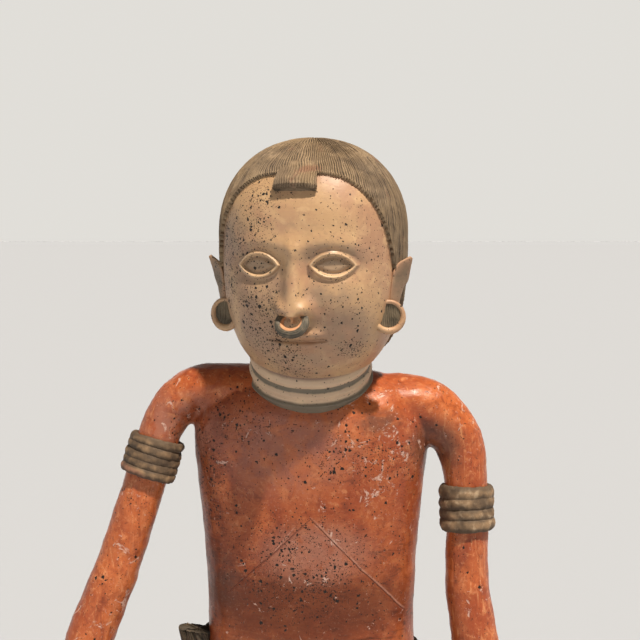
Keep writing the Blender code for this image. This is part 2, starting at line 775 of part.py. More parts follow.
def belt_point(angle, out):
    """A point of the belt's line round the waist, out metres proud of the body. It dips in front and to the left."""
    half = (HIP_HALF_WIDTH + WAIST_HALF_WIDTH) / 2
    x = (half + out) * math.sin(angle)
    y = TORSO_SETBACK - (TORSO_HALF_DEPTH * 1.03 + out) * math.cos(angle)
    z = BELT_Z - 0.012 * math.cos(angle) - 0.007 * math.sin(angle)
    return Vector((x, y, z))


def build_belt():
    shape = bmesh.new()
    count, sides = 28, 6
    loops = []
    for k in range(count):
        angle = 2 * math.pi * k / count
        middle = belt_point(angle, 0.0015)
        outward = Vector((math.sin(angle), -math.cos(angle), 0))
        loop = []
        for j in range(sides):
            turn = 2 * math.pi * j / sides
            offset = outward * math.cos(turn) * BELT_RADIUS + Vector((0, 0, 1)) * math.sin(turn) * BELT_RADIUS * 1.25
            loop.append(shape.verts.new(middle + offset))
        loops.append(loop)
    for k in range(count):
        here, ahead = loops[k], loops[(k + 1) % count]
        for j in range(sides):
            follow = (j + 1) % sides
            shape.faces.new((here[j], here[follow], ahead[follow], ahead[j]))
    return object_from("belt", shape)


def build_bundle():
    """The belt's tied ends, a blunt sheaf of cords that stands up and out at the right hip."""
    shape = bmesh.new()
    foot = belt_point(math.radians(-84), 0.006)
    half = BUNDLE_WIDTH / 2
    rings = []
    for rise, size in ((-0.56, 0.90), (-0.52, 1.0), (-0.05, 0.94), (0.40, 1.06), (0.44, 0.96)):
        ring = []
        for x, y in superellipse(half * size, half * size * 0.62, half * size * 0.62, 3.0, 40):
            cords = abs(math.cos(math.pi * BUNDLE_CORDS * (x / (half * size) + 1) / 2 + math.pi / 2))
            slant = -0.12 * x / BUNDLE_HEIGHT if rise > 0 else 0
            z = BUNDLE_HEIGHT * (rise + slant)
            ring.append(foot + Vector((x - 0.10 * z, y * (0.80 + 0.20 * cords), z)))
        rings.append(ring)
    loft(shape, rings)
    return object_from("bundle", shape)


def build_apron(facing):
    """A flat cloth that hangs from the belt, in front where facing is -1 and behind where it is 1."""
    shape = bmesh.new()
    rings = []
    rows = 4
    half_angle = math.asin(APRON_WIDTH / 2 / WAIST_HALF_WIDTH)
    for row in range(rows + 1):
        share = row / rows
        z = BELT_Z - 0.004 - APRON_LENGTH * share
        ring = []
        out = APRON_THICKNESS * (0.55 + 0.45 * share)
        for sign in (1, -1):
            for k in range(7):
                place = (k / 3 - 1) * sign
                width = APRON_WIDTH / 2 * (1 - 0.10 * share)
                bow = TORSO_HALF_DEPTH * (1.03 + 0.03 * (facing < 0)) * math.cos(place * half_angle * 0.80)
                depth = bow + out if sign > 0 else bow - 0.012
                ring.append(Vector((place * width, TORSO_SETBACK + facing * depth, z)))
        rings.append(ring)
    loft(shape, rings)
    return object_from("apron", shape)


def build_slab():
    shape = bmesh.new()
    rings = []
    half_x, half_y = SLAB_WIDTH / 2, SLAB_DEPTH / 2
    edge = ((0, 0.4), (SLAB_EDGE * 0.4, 0), (SLAB_THICKNESS - SLAB_EDGE, 0), (SLAB_THICKNESS, 1))
    for z, share in edge:
        inset = SLAB_EDGE * share
        oval = superellipse(half_x - inset, half_y - inset, half_y - inset, 2.9, 40)
        rings.append([Vector((x, y, z)) for x, y in oval])
    loft(shape, rings)
    return object_from("slab", shape)


def terracotta():
    material = bpy.data.materials.new("burnished_terracotta")
    material.use_nodes = True
    shader = material.node_tree.nodes["Principled BSDF"]
    shader.inputs["Base Color"].default_value = (0.45, 0.13, 0.045, 1)
    shader.inputs["Roughness"].default_value = 0.42
    return material


def main():
    for leftover in list(bpy.data.objects):
        bpy.data.objects.remove(leftover)
    figure, *pieces = [
        *build_body(),
        *build_head(),
        build_slab(),
        build_band(SIDES["right"], RIGHT_BAND_LENGTH, RIGHT_BAND_COILS),
        build_band(SIDES["left"], LEFT_BAND_LENGTH, LEFT_BAND_COILS),
        build_belt(),
        build_bundle(),
        build_apron(-1),
        build_apron(1),
    ]
    figure.name = "figure"
    others = bpy.data.collections.new("others")
    for piece in pieces:
        others.objects.link(piece)
    join = figure.modifiers.new("join", "BOOLEAN")
    join.operation = "UNION"
    join.solver = "EXACT"
    join.operand_type = "COLLECTION"
    join.collection = others
    settled(figure)
    for piece in pieces:
        bpy.data.objects.remove(piece)
    bpy.data.collections.remove(others)
    figure.data.materials.clear()
    figure.data.materials.append(terracotta())
    figure.data.shade_smooth()
    figure.data.set_sharp_from_angle(angle=math.radians(40))


main()
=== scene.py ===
import math

import bmesh
import bpy
import numpy as np
from mathutils import Matrix, Vector


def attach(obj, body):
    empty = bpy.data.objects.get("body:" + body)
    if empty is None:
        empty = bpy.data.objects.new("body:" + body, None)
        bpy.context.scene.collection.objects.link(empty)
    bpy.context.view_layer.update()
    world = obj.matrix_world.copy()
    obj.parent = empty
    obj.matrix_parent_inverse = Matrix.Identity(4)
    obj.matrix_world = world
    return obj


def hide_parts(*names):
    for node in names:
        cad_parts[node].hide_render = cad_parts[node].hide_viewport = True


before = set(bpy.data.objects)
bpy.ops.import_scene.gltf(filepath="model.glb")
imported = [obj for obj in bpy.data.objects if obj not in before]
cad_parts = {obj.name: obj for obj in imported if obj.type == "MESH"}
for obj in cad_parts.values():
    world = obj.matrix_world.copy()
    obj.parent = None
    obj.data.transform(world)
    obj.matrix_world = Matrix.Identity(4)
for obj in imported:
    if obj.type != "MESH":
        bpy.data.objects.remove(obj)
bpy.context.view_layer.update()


# The slab under the feet. A low oval plate of the same coarse clay as the figure, pressed flat underneath,
# rounded at its edge by hand and joined to the soles before firing. It has no slip, so it is matte and pale
# brown.

SLAB_WIDTH = 0.262
SLAB_DEPTH = 0.196
SLAB_THICKNESS = 0.022
SLAB_EDGE = 0.006
SLAB_ROUND = 0.006


def full_turn(count):
    """Angles evenly round a circle, from 0."""
    return [2 * math.pi * k / count for k in range(count)]


def oval_point(angle, half_x, front, back, power):
    """A point of an oval, angle 0 in front. front and back are its reach towards -Y and +Y."""
    sine, cosine = math.sin(angle), math.cos(angle)
    x = half_x * math.copysign(abs(sine) ** (2 / power), sine)
    reach = front if cosine > 0 else back
    return x, -reach * math.copysign(abs(cosine) ** (2 / power), cosine)


def oval(half_x, front, back, power, count):
    """Points round an oval, starting at the front."""
    return [oval_point(angle, half_x, front, back, power) for angle in full_turn(count)]


def placed(name, data):
    """A new object in the scene, at the origin."""
    made = bpy.data.objects.new(name, data)
    bpy.context.scene.collection.objects.link(made)
    return made


def mesh_object(name, points, faces, attributes=None):
    """A smooth closed mesh whose faces point out. attributes gives one number a point under each name."""
    mesh = bpy.data.meshes.new(name)
    mesh.from_pydata([tuple(point) for point in points], [], faces)
    shape = bmesh.new()
    shape.from_mesh(mesh)
    bmesh.ops.recalc_face_normals(shape, faces=shape.faces)
    shape.to_mesh(mesh)
    shape.free()
    for key, values in (attributes or {}).items():
        layer = mesh.attributes.new(key, "FLOAT", "POINT")
        layer.data.foreach_set("value", np.asarray(values, dtype=np.float32))
    mesh.shade_smooth()
    return placed(name, mesh)


def wrapped(low, high, count):
    """Quads between two rings of points that start at these indices."""
    return [(low + k, low + (k + 1) % count, high + (k + 1) % count, high + k) for k in range(count)]


def column_mesh(name, rings, attributes=None):
    """A closed mesh over rings of points, with a fan of triangles at each end."""
    count = len(rings[0])
    points = [point for ring in rings for point in ring]
    faces = []
    for row in range(len(rings) - 1):
        faces += wrapped(row * count, (row + 1) * count, count)
    for ring, start in ((rings[0], 0), (rings[-1], (len(rings) - 1) * count)):
        middle = len(points)
        points.append(sum((Vector(point) for point in ring), Vector()) / count)
        faces += [(middle, start + k, start + (k + 1) % count) for k in range(count)]
    values = {}
    for key, rows in (attributes or {}).items():
        flat = [value for row in rows for value in row]
        values[key] = flat + [rows[0][0], rows[-1][0]]
    return mesh_object(name, points, faces, values)


def loop_mesh(name, loops, attributes=None):
    """A closed mesh over loops of points that come round to the first again, like a ring."""
    count = len(loops[0])
    points = [point for loop in loops for point in loop]
    faces = []
    for row in range(len(loops)):
        faces += wrapped(row * count, (row + 1) % len(loops) * count, count)
    values = {key: [value for row in rows for value in row] for key, rows in (attributes or {}).items()}
    return mesh_object(name, points, faces, values)


def socket_named(sockets, key):
    """The socket with this number, identifier or name."""
    if isinstance(key, int):
        return sockets[key]
    for socket in sockets:
        if socket.identifier == key:
            return socket
    return next(socket for socket in sockets if socket.name == key and socket.enabled)


class Wire:
    """A socket of a node tree. Arithmetic on it makes Math nodes, and node() makes any other node."""

    def __init__(self, tree, socket=None):
        self.tree = tree
        self.socket = socket

    def feed(self, target, value):
        if isinstance(value, Wire):
            self.tree.links.new(value.socket, target)
        else:
            target.default_value = value

    def node(self, kind, settings=None, inputs=None, output=0):
        made = self.tree.nodes.new(kind)
        for name, value in (settings or {}).items():
            setattr(made, name, value)
        for key, value in (inputs or {}).items():
            self.feed(socket_named(made.inputs, key), value)
        return Wire(self.tree, socket_named(made.outputs, output))

    def math(self, operation, *values):
        return self.node("ShaderNodeMath", {"operation": operation}, dict(enumerate(values)))

    def vector(self, operation, *values, output=0):
        return self.node("ShaderNodeVectorMath", {"operation": operation}, dict(enumerate(values)), output)

    def __add__(self, other):
        return self.math("ADD", self, other)

    __radd__ = __add__

    def __sub__(self, other):
        return self.math("SUBTRACT", self, other)

    def __rsub__(self, other):
        return self.math("SUBTRACT", other, self)

    def __mul__(self, other):
        return self.math("MULTIPLY", self, other)

    __rmul__ = __mul__

    def __truediv__(self, other):
        return self.math("DIVIDE", self, other)

    def __rtruediv__(self, other):
        return self.math("DIVIDE", other, self)

    def __pow__(self, other):
        return self.math("POWER", self, other)

    def __abs__(self):
        return self.math("ABSOLUTE", self)

    def least(self, other):
        return self.math("MINIMUM", self, other)

    def most(self, *others):
        """The largest of this wire and the others."""
        found = self
        for other in others:
            found = found.math("MAXIMUM", found, other)
        return found

    def ramp(self, low, high):
        """0 at low and 1 at high, eased between them. low may be above high."""
        inputs = {"Value": self, "From Min": min(low, high), "From Max": max(low, high)}
        eased = self.node("ShaderNodeMapRange", {"interpolation_type": "SMOOTHSTEP"}, inputs)
        return eased if low < high else 1 - eased

    def parts(self):
        """The X, Y and Z wires of a vector wire."""
        return [self.node("ShaderNodeSeparateXYZ", None, {0: self}, axis) for axis in range(3)]

    def length(self):
        return self.vector("LENGTH", self, output="Value")

    def unit(self):
        return self.vector("NORMALIZE", self)

    def scaled(self, amount):
        return self.node("ShaderNodeVectorMath", {"operation": "SCALE"}, {0: self, "Scale": amount})

    def stretched(self, x, y, z):
        return self.vector("MULTIPLY", self, (x, y, z))

    def own(self, name):
        """The number that a piece's mesh holds under this name."""
        return self.node("ShaderNodeAttribute", {"attribute_name": name}, None, "Fac")

    def between(self, low, high):
        """A colour from low where this wire is 0 to high where it is 1, both in linear light."""
        sockets = {"Factor_Float": self, "A_Color": (*low, 1), "B_Color": (*high, 1)}
        return self.node("ShaderNodeMix", {"data_type": "RGBA"}, sockets, "Result_Color")

    def mix(self, over, factor):
        """This colour with a constant one, in linear light, over it by factor."""
        sockets = {"Factor_Float": factor, "A_Color": self, "B_Color": (*over, 1)}
        return self.node("ShaderNodeMix", {"data_type": "RGBA"}, sockets, "Result_Color")

    def noise(self, scale, detail=2.0, roughness=0.5, distortion=0.0, seed=None):
        """Noise over this vector wire, about 0.2 to 0.8. With a seed it has a fourth dimension."""
        settings = None if seed is None else {"noise_dimensions": "4D"}
        sockets = {"Vector": self, "Scale": scale, "Detail": detail, "Roughness": roughness}
        sockets["Distortion"] = distortion
        if seed is not None:
            sockets["W"] = seed
        return self.node("ShaderNodeTexNoise", settings, sockets, "Fac")

    def near(self, centre, reach):
        """1 at the middle of an oval lump of space, falling to 0 at its reach."""
        offset = self.vector("SUBTRACT", self, centre)
        return self.vector("DIVIDE", offset, reach).length().ramp(1.0, 0.35)

    def near_any(self, lumps):
        """The strongest of several lumps, each given by its centre and reach."""
        first, *others = [self.near(centre, reach) for centre, reach in lumps]
        return first.most(*others)

    def specks(self, cells, density, size=0.26):
        """Small ragged spots, cells a metre. density, from 0 to 1, says how many of the cells hold one."""
        ragged = {"Vector": self, "Scale": cells * 2.3, "Detail": 2.0}
        push = self.node("ShaderNodeTexNoise", None, ragged, "Color").scaled(0.9 / cells)
        inputs = {"Vector": self.vector("ADD", self, push), "Scale": cells}
        spot = self.node("ShaderNodeTexVoronoi", None, inputs, "Distance")
        pick, big, _ = self.node("ShaderNodeTexVoronoi", None, inputs, "Color").parts()
        inside = (big * big * size + size * 0.42 - spot) * (7.0 / size)
        return inside.least(1.0).most(0.0) * pick.math("LESS_THAN", pick, density)

    def manganese(self, density, kinds):
        """Black spots of several kinds: cells a metre, share of the density, and size."""
        first, *others = [self.specks(cells, density * share, size) for cells, share, size in kinds]
        return first.most(*others)


def new_material(name):
    """A material with its Principled shader, and a wire of the object's own coordinates."""
    material = bpy.data.materials.new(name)
    material.use_nodes = True
    tree = material.node_tree
    place = Wire(tree).node("ShaderNodeTexCoord", output="Object")
    return material, place, tree.nodes["Principled BSDF"]


def finish_material(place, shader, colour, roughness, height, distance):
    """Feeds the shader. height is a wire of about 0 to 1, and distance is how deep it goes in metres."""
    relief = {"Strength": 1.0, "Distance": distance, "Height": height}
    place.feed(shader.inputs["Base Color"], colour)
    place.feed(shader.inputs["Roughness"], roughness)
    place.feed(shader.inputs["Normal"], place.node("ShaderNodeBump", None, relief, "Normal"))


def node_group(name, **inputs):
    """An empty geometry node group with a geometry in and out, and inputs of these names and kinds."""
    tree = bpy.data.node_groups.new(name, "GeometryNodeTree")
    tree.interface.new_socket("Geometry", in_out="OUTPUT", socket_type="NodeSocketGeometry")
    for label, kind in {"Geometry": "Geometry", **inputs}.items():
        tree.interface.new_socket(label, in_out="INPUT", socket_type="NodeSocket" + kind)
    given = tree.nodes.new("NodeGroupInput")
    return tree, {socket.name: Wire(tree, socket) for socket in given.outputs if socket.name}


def pushed(geometry, amount):
    """The geometry with its skin moved out by amount, which is in where it is negative."""
    offset = geometry.node("GeometryNodeInputNormal").scaled(amount)
    return geometry.node("GeometryNodeSetPosition", None, {"Geometry": geometry, "Offset": offset})


def stored(geometry, name, value):
    """The geometry with this number kept on its points under a name."""
    sockets = {"Geometry": geometry, "Name": name, "Value": value}
    settings = {"data_type": "FLOAT", "domain": "POINT"}
    return geometry.node("GeometryNodeStoreNamedAttribute", settings, sockets)


def close_group(tree, geometry, material):
    """Ends a node group with real geometry that carries its material."""
    real = geometry.node("GeometryNodeRealizeInstances", None, {"Geometry": geometry})
    painted = real.node("GeometryNodeSetMaterial", None, {"Geometry": real, "Material": material})
    result = tree.nodes.new("NodeGroupOutput")
    tree.links.new(painted.socket, result.inputs[0])


def settled(obj):
    """Works the object's modifiers into its mesh."""
    graph = bpy.context.evaluated_depsgraph_get()
    ready = obj.evaluated_get(graph)
    mesh = bpy.data.meshes.new_from_object(ready, preserve_all_data_layers=True, depsgraph=graph)
    obj.modifiers.clear()
    obj.data = mesh
    mesh.shade_smooth()


def finish_piece(obj, tree, **values):
    """Runs a node group with these inputs over the object and keeps the result as its mesh. The piece then
    shows the figure's solid and rides on its only body."""
    modifier = obj.modifiers.new("nodes", "NODES")
    modifier.node_group = tree
    sockets = [item for item in tree.interface.items_tree if item.in_out == "INPUT"]
    identifiers = {socket.name.lower(): socket.identifier for socket in sockets}
    for key, value in values.items():
        modifier[identifiers[key]] = value
    settled(obj)
    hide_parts("figure")
    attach(obj, "root")


worked_clay, given = node_group(
    "worked_clay", Depth="Float", Grain="Float", Seed="Float", Material="Material"
)
skin = given["Geometry"]
waves = skin.node("GeometryNodeInputPosition").noise(given["Grain"], 3.0, 0.55, seed=given["Seed"])
close_group(worked_clay, pushed(skin, (waves - 0.75).least(0.0) * given["Depth"]), given["Material"])

rings = []
profile = [(0.0, 0.35), (0.0006, 0.15), (0.0022, 0.0), (0.011, -0.06), (SLAB_THICKNESS - SLAB_ROUND, 0.0)]
for k in range(1, 9):
    turn = math.pi / 2 * k / 8
    profile.append((SLAB_THICKNESS - SLAB_ROUND + SLAB_ROUND * math.sin(turn), 1 - math.cos(turn)))
profile += [(SLAB_THICKNESS, 1 + 1.5 * k) for k in range(1, 11)]
for z, share in profile:
    inset = 0.0008 + SLAB_EDGE * share
    reach = SLAB_DEPTH / 2 - inset
    rings.append([Vector((x, y, z)) for x, y in oval(SLAB_WIDTH / 2 - inset, reach, reach, 2.9, 220)])
slab = column_mesh("slab", rings)

bare_clay, place, shader = new_material("bare_clay")
grain = place.noise(900, 3, 0.7)
cloud = place.noise(14, 4, 0.6, 0.6)
scrape = place.stretched(60, 260, 260).noise(1.0, 4, 0.6)
colour = cloud.ramp(0.42, 0.68).between((0.30, 0.165, 0.088), (0.17, 0.095, 0.055))
colour = colour.mix((0.42, 0.25, 0.14), scrape.ramp(0.55, 0.75) * 0.5)
spots = place.specks(330, cloud.ramp(0.35, 0.7) * 0.16)
colour = colour.mix((0.012, 0.009, 0.007), spots * 0.9)
height = grain * 0.35 + scrape * 0.65 - spots * 0.4
finish_material(place, shader, colour, 0.74 + grain * 0.15, height, 0.0006)
underside = [vertex.index for vertex in slab.data.vertices if vertex.co.z < 0.0009]
finish_piece(slab, worked_clay, depth=0.0030, grain=42.0, seed=1.0, material=bare_clay)
for index in underside:
    slab.data.vertices[index].co.z = 0.0


# The body. Torso, legs, arms, hands and feet are built up of coils, joined while damp and smoothed over,
# then coated with red slip and burnished with a stone. Two drawn lines meet below the chest, and black
# spots of manganese have grown through the slip in the ground.

LEG_LENGTH = 0.148
TORSO_LENGTH = 0.315
TORSO_SETBACK = 0.010
WAIST_HALF_WIDTH = 0.0935
CHEST_HALF_WIDTH = 0.105
HIP_HALF_WIDTH = 0.095
TORSO_HALF_DEPTH = 0.054
LEG_SPACING = 0.098
THIGH_RADIUS = 0.044
ANKLE_RADIUS = 0.033
FOOT_LENGTH = 0.124
FOOT_WIDTH = 0.064
FOOT_HEIGHT = 0.036
SHOULDER_RADIUS = 0.0225
ARM_RADIUS = 0.0196
ELBOW_RADIUS = 0.0222
WRIST_RADIUS = 0.0150
HAND_LENGTH = 0.062
HAND_THICKNESS = 0.015
FINGER_RADIUS = 0.0056
LEFT_FINGERS_CLEAR = 0.0042
CROTCH_Z = SLAB_THICKNESS + LEG_LENGTH
SHOULDER_Z = CROTCH_Z + TORSO_LENGTH
HIP_Z = CROTCH_Z + 0.036
WAIST_Z = CROTCH_Z + 0.115
CHEST_Z = SHOULDER_Z - 0.045
LINES_MEET = (0.0, 0.378)
LEFT_LINE_END = (0.0816, 0.292)
RIGHT_LINE_END = (-0.0714, 0.310)
BODY_GRID = 0.00135
BODY_TRIANGLES = 190000


def through(points, share):
    """The point at this share of a smooth curve through all the points."""
    place = min(0.999999, max(0.0, share)) * (len(points) - 1)
    index = int(place)
    t = place - index
    before = points[max(index - 1, 0)]
    start = points[index]
    end = points[index + 1]
    after = points[min(index + 2, len(points) - 1)]
    return (
        start * (2 * t**3 - 3 * t**2 + 1)
        + (end - before) / 2 * (t**3 - 2 * t**2 + t)
        + end * (3 * t**2 - 2 * t**3)
        + (after - start) / 2 * (t**3 - t**2)
    )


def loft(shape, rings):
    """A closed skin over rings of points, added to the bmesh."""
    made = [[shape.verts.new(point) for point in ring] for ring in rings]
    count = len(made[0])
    for low, high in zip(made, made[1:]):
        for k in range(count):
            shape.faces.new((low[k], low[(k + 1) % count], high[(k + 1) % count], high[k]))
    shape.faces.new(list(reversed(made[0])))
    shape.faces.new(made[-1])


def oval_column(shape, sections, power=2.3, count=96, steps=8):
    """A column from ovals (centre, half width, front, back), smoothed between them."""
    centres = [Vector(section[0]) for section in sections]
    reaches = [Vector(section[1:4]) for section in sections]
    rings = []
    last = (len(sections) - 1) * steps
    for k in range(last + 1):
        centre = through(centres, k / last)
        half, front, back = through(reaches, k / last)
        rings.append([centre + Vector((x, y, 0)) for x, y in oval(half, front, back, power, count)])
    loft(shape, rings)


def tube_rings(points, radii, count, steps, up=Vector((0, 1, 0))):
    """Rings along a smooth path. Each radius is one number, or (across, along up) for an oval."""
    pairs = [Vector((r, r, 0)) if isinstance(r, float) else Vector((*r, 0)) for r in radii]
    path = [Vector(point) for point in points]
    rings = []
    last = (len(path) - 1) * steps
    for k in range(last + 1):
        here = through(path, k / last)
        ahead = through(path, min(1.0, (k + 0.5) / last)) - through(path, max(0.0, (k - 0.5) / last))
        ahead.normalize()
        side = ahead.cross(up).normalized()
        top = side.cross(ahead)
        wide, deep, _ = through(pairs, k / last)
        rings.append(
            [here + side * wide * math.cos(a) + top * deep * math.sin(a) for a in full_turn(count)]
        )
    return rings


def tube(shape, points, radii, count=48, steps=12, up=Vector((0, 1, 0))):
    loft(shape, tube_rings(points, radii, count, steps, up))


def arm_path(side):
    """Middle line from inside the shoulder into the hand. side is -1 for the right arm and 1 for the left."""
    chest, hip = CHEST_HALF_WIDTH - 0.002, HIP_HALF_WIDTH
    hand_y = TORSO_SETBACK - TORSO_HALF_DEPTH * 0.78
    if side < 0:
        drop = 0.0
        at_band = (-chest - 0.037, -0.002, SHOULDER_Z - 0.061)
        below_band = (-chest - 0.067, -0.010, CROTCH_Z + 0.160)
        elbow = (-chest - 0.095, -0.020, CROTCH_Z + 0.077)
        inner = (-hip - 0.071, hand_y + 0.004, CROTCH_Z + 0.052)
        wrist = (-hip - 0.025, hand_y, CROTCH_Z + 0.046)
    else:
        drop = -0.014
        at_band = (chest + 0.0350, -0.004, SHOULDER_Z - 0.106)
        below_band = (chest + 0.0355, -0.012, CROTCH_Z + 0.140)
        elbow = (chest + 0.044, -0.022, CROTCH_Z + 0.066)
        inner = (hip + 0.037, hand_y + 0.004, CROTCH_Z + 0.038)
        wrist = (hip + 0.010, hand_y + 0.002, CROTCH_Z + 0.014)
    x = side * chest
    return [
        Vector((x * 0.45, TORSO_SETBACK, SHOULDER_Z - 0.002 + drop)),
        Vector((x * 0.90, TORSO_SETBACK * 0.8, SHOULDER_Z - 0.001 + drop * 1.1)),
        Vector((x * 1.12, TORSO_SETBACK * 0.5, SHOULDER_Z - 0.012 + drop * 1.2)),
        Vector((x * (1.27 if side < 0 else 1.29), 0.002, SHOULDER_Z - 0.033 + drop * 1.5)),
        Vector(at_band),
        Vector(below_band),
        Vector(elbow),
        Vector(inner),
        Vector(wrist),
        Vector(wrist) + hand_way(side) * 0.014,
    ]


def hand_way(side):
    return Vector((0.90, -0.14, -0.40) if side < 0 else (-0.52, -0.13, -0.84)).normalized()


shape = bmesh.new()
deep, y = TORSO_HALF_DEPTH, TORSO_SETBACK
ribs = (WAIST_HALF_WIDTH + CHEST_HALF_WIDTH) / 2 - 0.002
oval_column(
    shape,
    [
        ((0, y, CROTCH_Z - 0.016), HIP_HALF_WIDTH * 0.50, deep * 0.55, deep * 0.60),
        ((0, y, CROTCH_Z + 0.004), HIP_HALF_WIDTH * 0.90, deep * 0.90, deep * 0.98),
        ((0, y, HIP_Z), HIP_HALF_WIDTH, deep * 1.02, deep * 1.06),
        ((0, y, (HIP_Z + WAIST_Z) / 2), (HIP_HALF_WIDTH + WAIST_HALF_WIDTH) / 2, deep * 1.04, deep),
        ((0, y, WAIST_Z), WAIST_HALF_WIDTH, deep * 1.02, deep * 0.92),
        ((0, y, (WAIST_Z + CHEST_Z) / 2), ribs, deep * 1.04, deep * 0.94),
        ((0, y, CHEST_Z), CHEST_HALF_WIDTH, deep * 1.10, deep),
        ((0, y, SHOULDER_Z - 0.018), CHEST_HALF_WIDTH * 0.95, deep * 1.07, deep * 0.94),
        ((0, y, SHOULDER_Z + 0.002), CHEST_HALF_WIDTH * 0.82, deep * 0.84, deep * 0.82),
        ((0, y, SHOULDER_Z + 0.015), CHEST_HALF_WIDTH * 0.52, deep * 0.48, deep * 0.60),
        ((0, y, SHOULDER_Z + 0.021), CHEST_HALF_WIDTH * 0.22, deep * 0.15, deep * 0.32),
    ],
    power=2.35,
)
for side in (-1, 1):
    x, ankle, z = side * LEG_SPACING / 2, ANKLE_RADIUS, SLAB_THICKNESS
    knee = (THIGH_RADIUS + ANKLE_RADIUS) / 2
    oval_column(
        shape,
        [
            ((x * 1.10, y + 0.006, z - 0.004), ankle * 0.98, ankle * 1.05, ankle * 1.10),
            ((x * 1.10, y + 0.006, z + 0.016), ankle, ankle * 1.05, ankle * 1.08),
            ((x * 1.08, y + 0.004, z + 0.046), ankle * 1.02, ankle, ankle * 1.12),
            ((x * 1.04, y, z + LEG_LENGTH * 0.55), knee, knee * 1.04, knee * 1.08),
            ((x, y, CROTCH_Z - 0.024), THIGH_RADIUS, THIGH_RADIUS * 1.05, THIGH_RADIUS * 1.08),
            ((x * 0.96, y, CROTCH_Z + 0.022), THIGH_RADIUS * 0.96, THIGH_RADIUS, THIGH_RADIUS),
        ],
        power=2.1,
    )
    x = side * LEG_SPACING * 0.58
    heel = TORSO_SETBACK + 0.046
    rings = []
    for along, wide, high in (
        (0.00, 0.60, 0.62),
        (0.10, 0.80, 0.92),
        (0.45, 0.84, 1.05),
        (0.75, 0.98, 0.70),
        (0.92, 0.94, 0.46),
    ):
        ring = []
        tall = FOOT_HEIGHT * high
        for px, pz in oval(FOOT_WIDTH / 2 * wide, tall, tall, 2.4, 60):
            pz = pz - 0.003 if pz > 0 else -0.006
            ring.append(Vector((x + px, heel - along * FOOT_LENGTH, z + pz)))
        rings.append(ring)
    loft(shape, rings)
    for toe in range(5):
        share = (toe - 2) / 2
        inner = -side * share
        radius = FOOT_WIDTH * (0.098 + 0.012 * inner)
        reach = heel - FOOT_LENGTH * (0.95 + 0.035 * inner)
        centre = Matrix.Translation((x + share * FOOT_WIDTH * 0.385, reach, z + radius * 0.85))
        size = Matrix.Diagonal((radius, radius * 1.7, radius * 1.05, 1))
        bmesh.ops.create_icosphere(shape, subdivisions=4, radius=1.0, matrix=centre @ size)
    thick = 1.0 if side < 0 else 1.22
    radii = [
        (SHOULDER_RADIUS * thick, SHOULDER_RADIUS * 1.7),
        (SHOULDER_RADIUS * thick, SHOULDER_RADIUS * 1.35),
        (SHOULDER_RADIUS * 0.96 * thick, SHOULDER_RADIUS * 1.1),
        (SHOULDER_RADIUS * 0.90 * (1 + thick) / 2, SHOULDER_RADIUS * 0.95),
        (ARM_RADIUS, ARM_RADIUS),
        (ARM_RADIUS * 1.05, ARM_RADIUS * 1.05),
        (ELBOW_RADIUS, ELBOW_RADIUS),
        (ELBOW_RADIUS * 0.92, ELBOW_RADIUS * 0.92),
        (WRIST_RADIUS, WRIST_RADIUS),
        (WRIST_RADIUS * 0.62, WRIST_RADIUS * 0.55),
    ]
    tube(shape, arm_path(side), radii)
    start, ahead = arm_path(side)[-2], hand_way(side)
    outward = Vector((0.30 * side, -1.0, 0.1))
    back = (outward - ahead * outward.dot(ahead)).normalized()
    across = ahead.cross(back)
    palm, half = HAND_LENGTH * 0.5, FINGER_RADIUS * 3.6
    flat = HAND_THICKNESS / 2
    tube(
        shape,
        [start - ahead * 0.006, start + ahead * palm * 0.35, start + ahead * palm],
        [(WRIST_RADIUS * 0.80, WRIST_RADIUS * 0.75), (half * 0.85, flat * 1.25), (half, flat)],
        up=back,
    )
    clear = 0.0 if side < 0 else LEFT_FINGERS_CLEAR
    for finger in range(4):
        offset = (finger - 1.5) * FINGER_RADIUS * 1.85
        length = HAND_LENGTH * (0.50 - 0.045 * abs(finger - 1.3))
        root = start + ahead * palm * 0.85 + across * offset + back * clear
        knuckle = root + ahead * length * 0.6 - back * 0.0012
        tip = root + ahead * length - back * (0.006 - clear * 0.7)
        radii = [FINGER_RADIUS, FINGER_RADIUS * 1.02, FINGER_RADIUS * 0.8]
        tube(shape, [root, knuckle, tip], radii, count=28, up=back)
    thumb_side = 1.0 if across.z > 0 else -1.0
    root = start + ahead * palm * 0.25 + across * thumb_side * half * 0.7
    tip = root + (ahead * 0.72 + across * thumb_side * 0.7) * HAND_LENGTH * 0.42
    radii = [FINGER_RADIUS * 1.1, FINGER_RADIUS * 1.1, FINGER_RADIUS * 0.85]
    tube(shape, [root, (root + tip) / 2, tip], radii, count=28, up=back)
bmesh.ops.recalc_face_normals(shape, faces=shape.faces)
mesh = bpy.data.meshes.new("body")
shape.to_mesh(mesh)
shape.free()
body = placed("body", mesh)
press = body.modifiers.new("press", "REMESH")
press.mode = "VOXEL"
press.voxel_size = BODY_GRID
smooth = body.modifiers.new("smooth", "SMOOTH")
smooth.factor = 0.5
smooth.iterations = 10
settled(body)
fewer = body.modifiers.new("fewer", "DECIMATE")
fewer.ratio = min(1.0, BODY_TRIANGLES / (2 * len(body.data.polygons)))
settled(body)

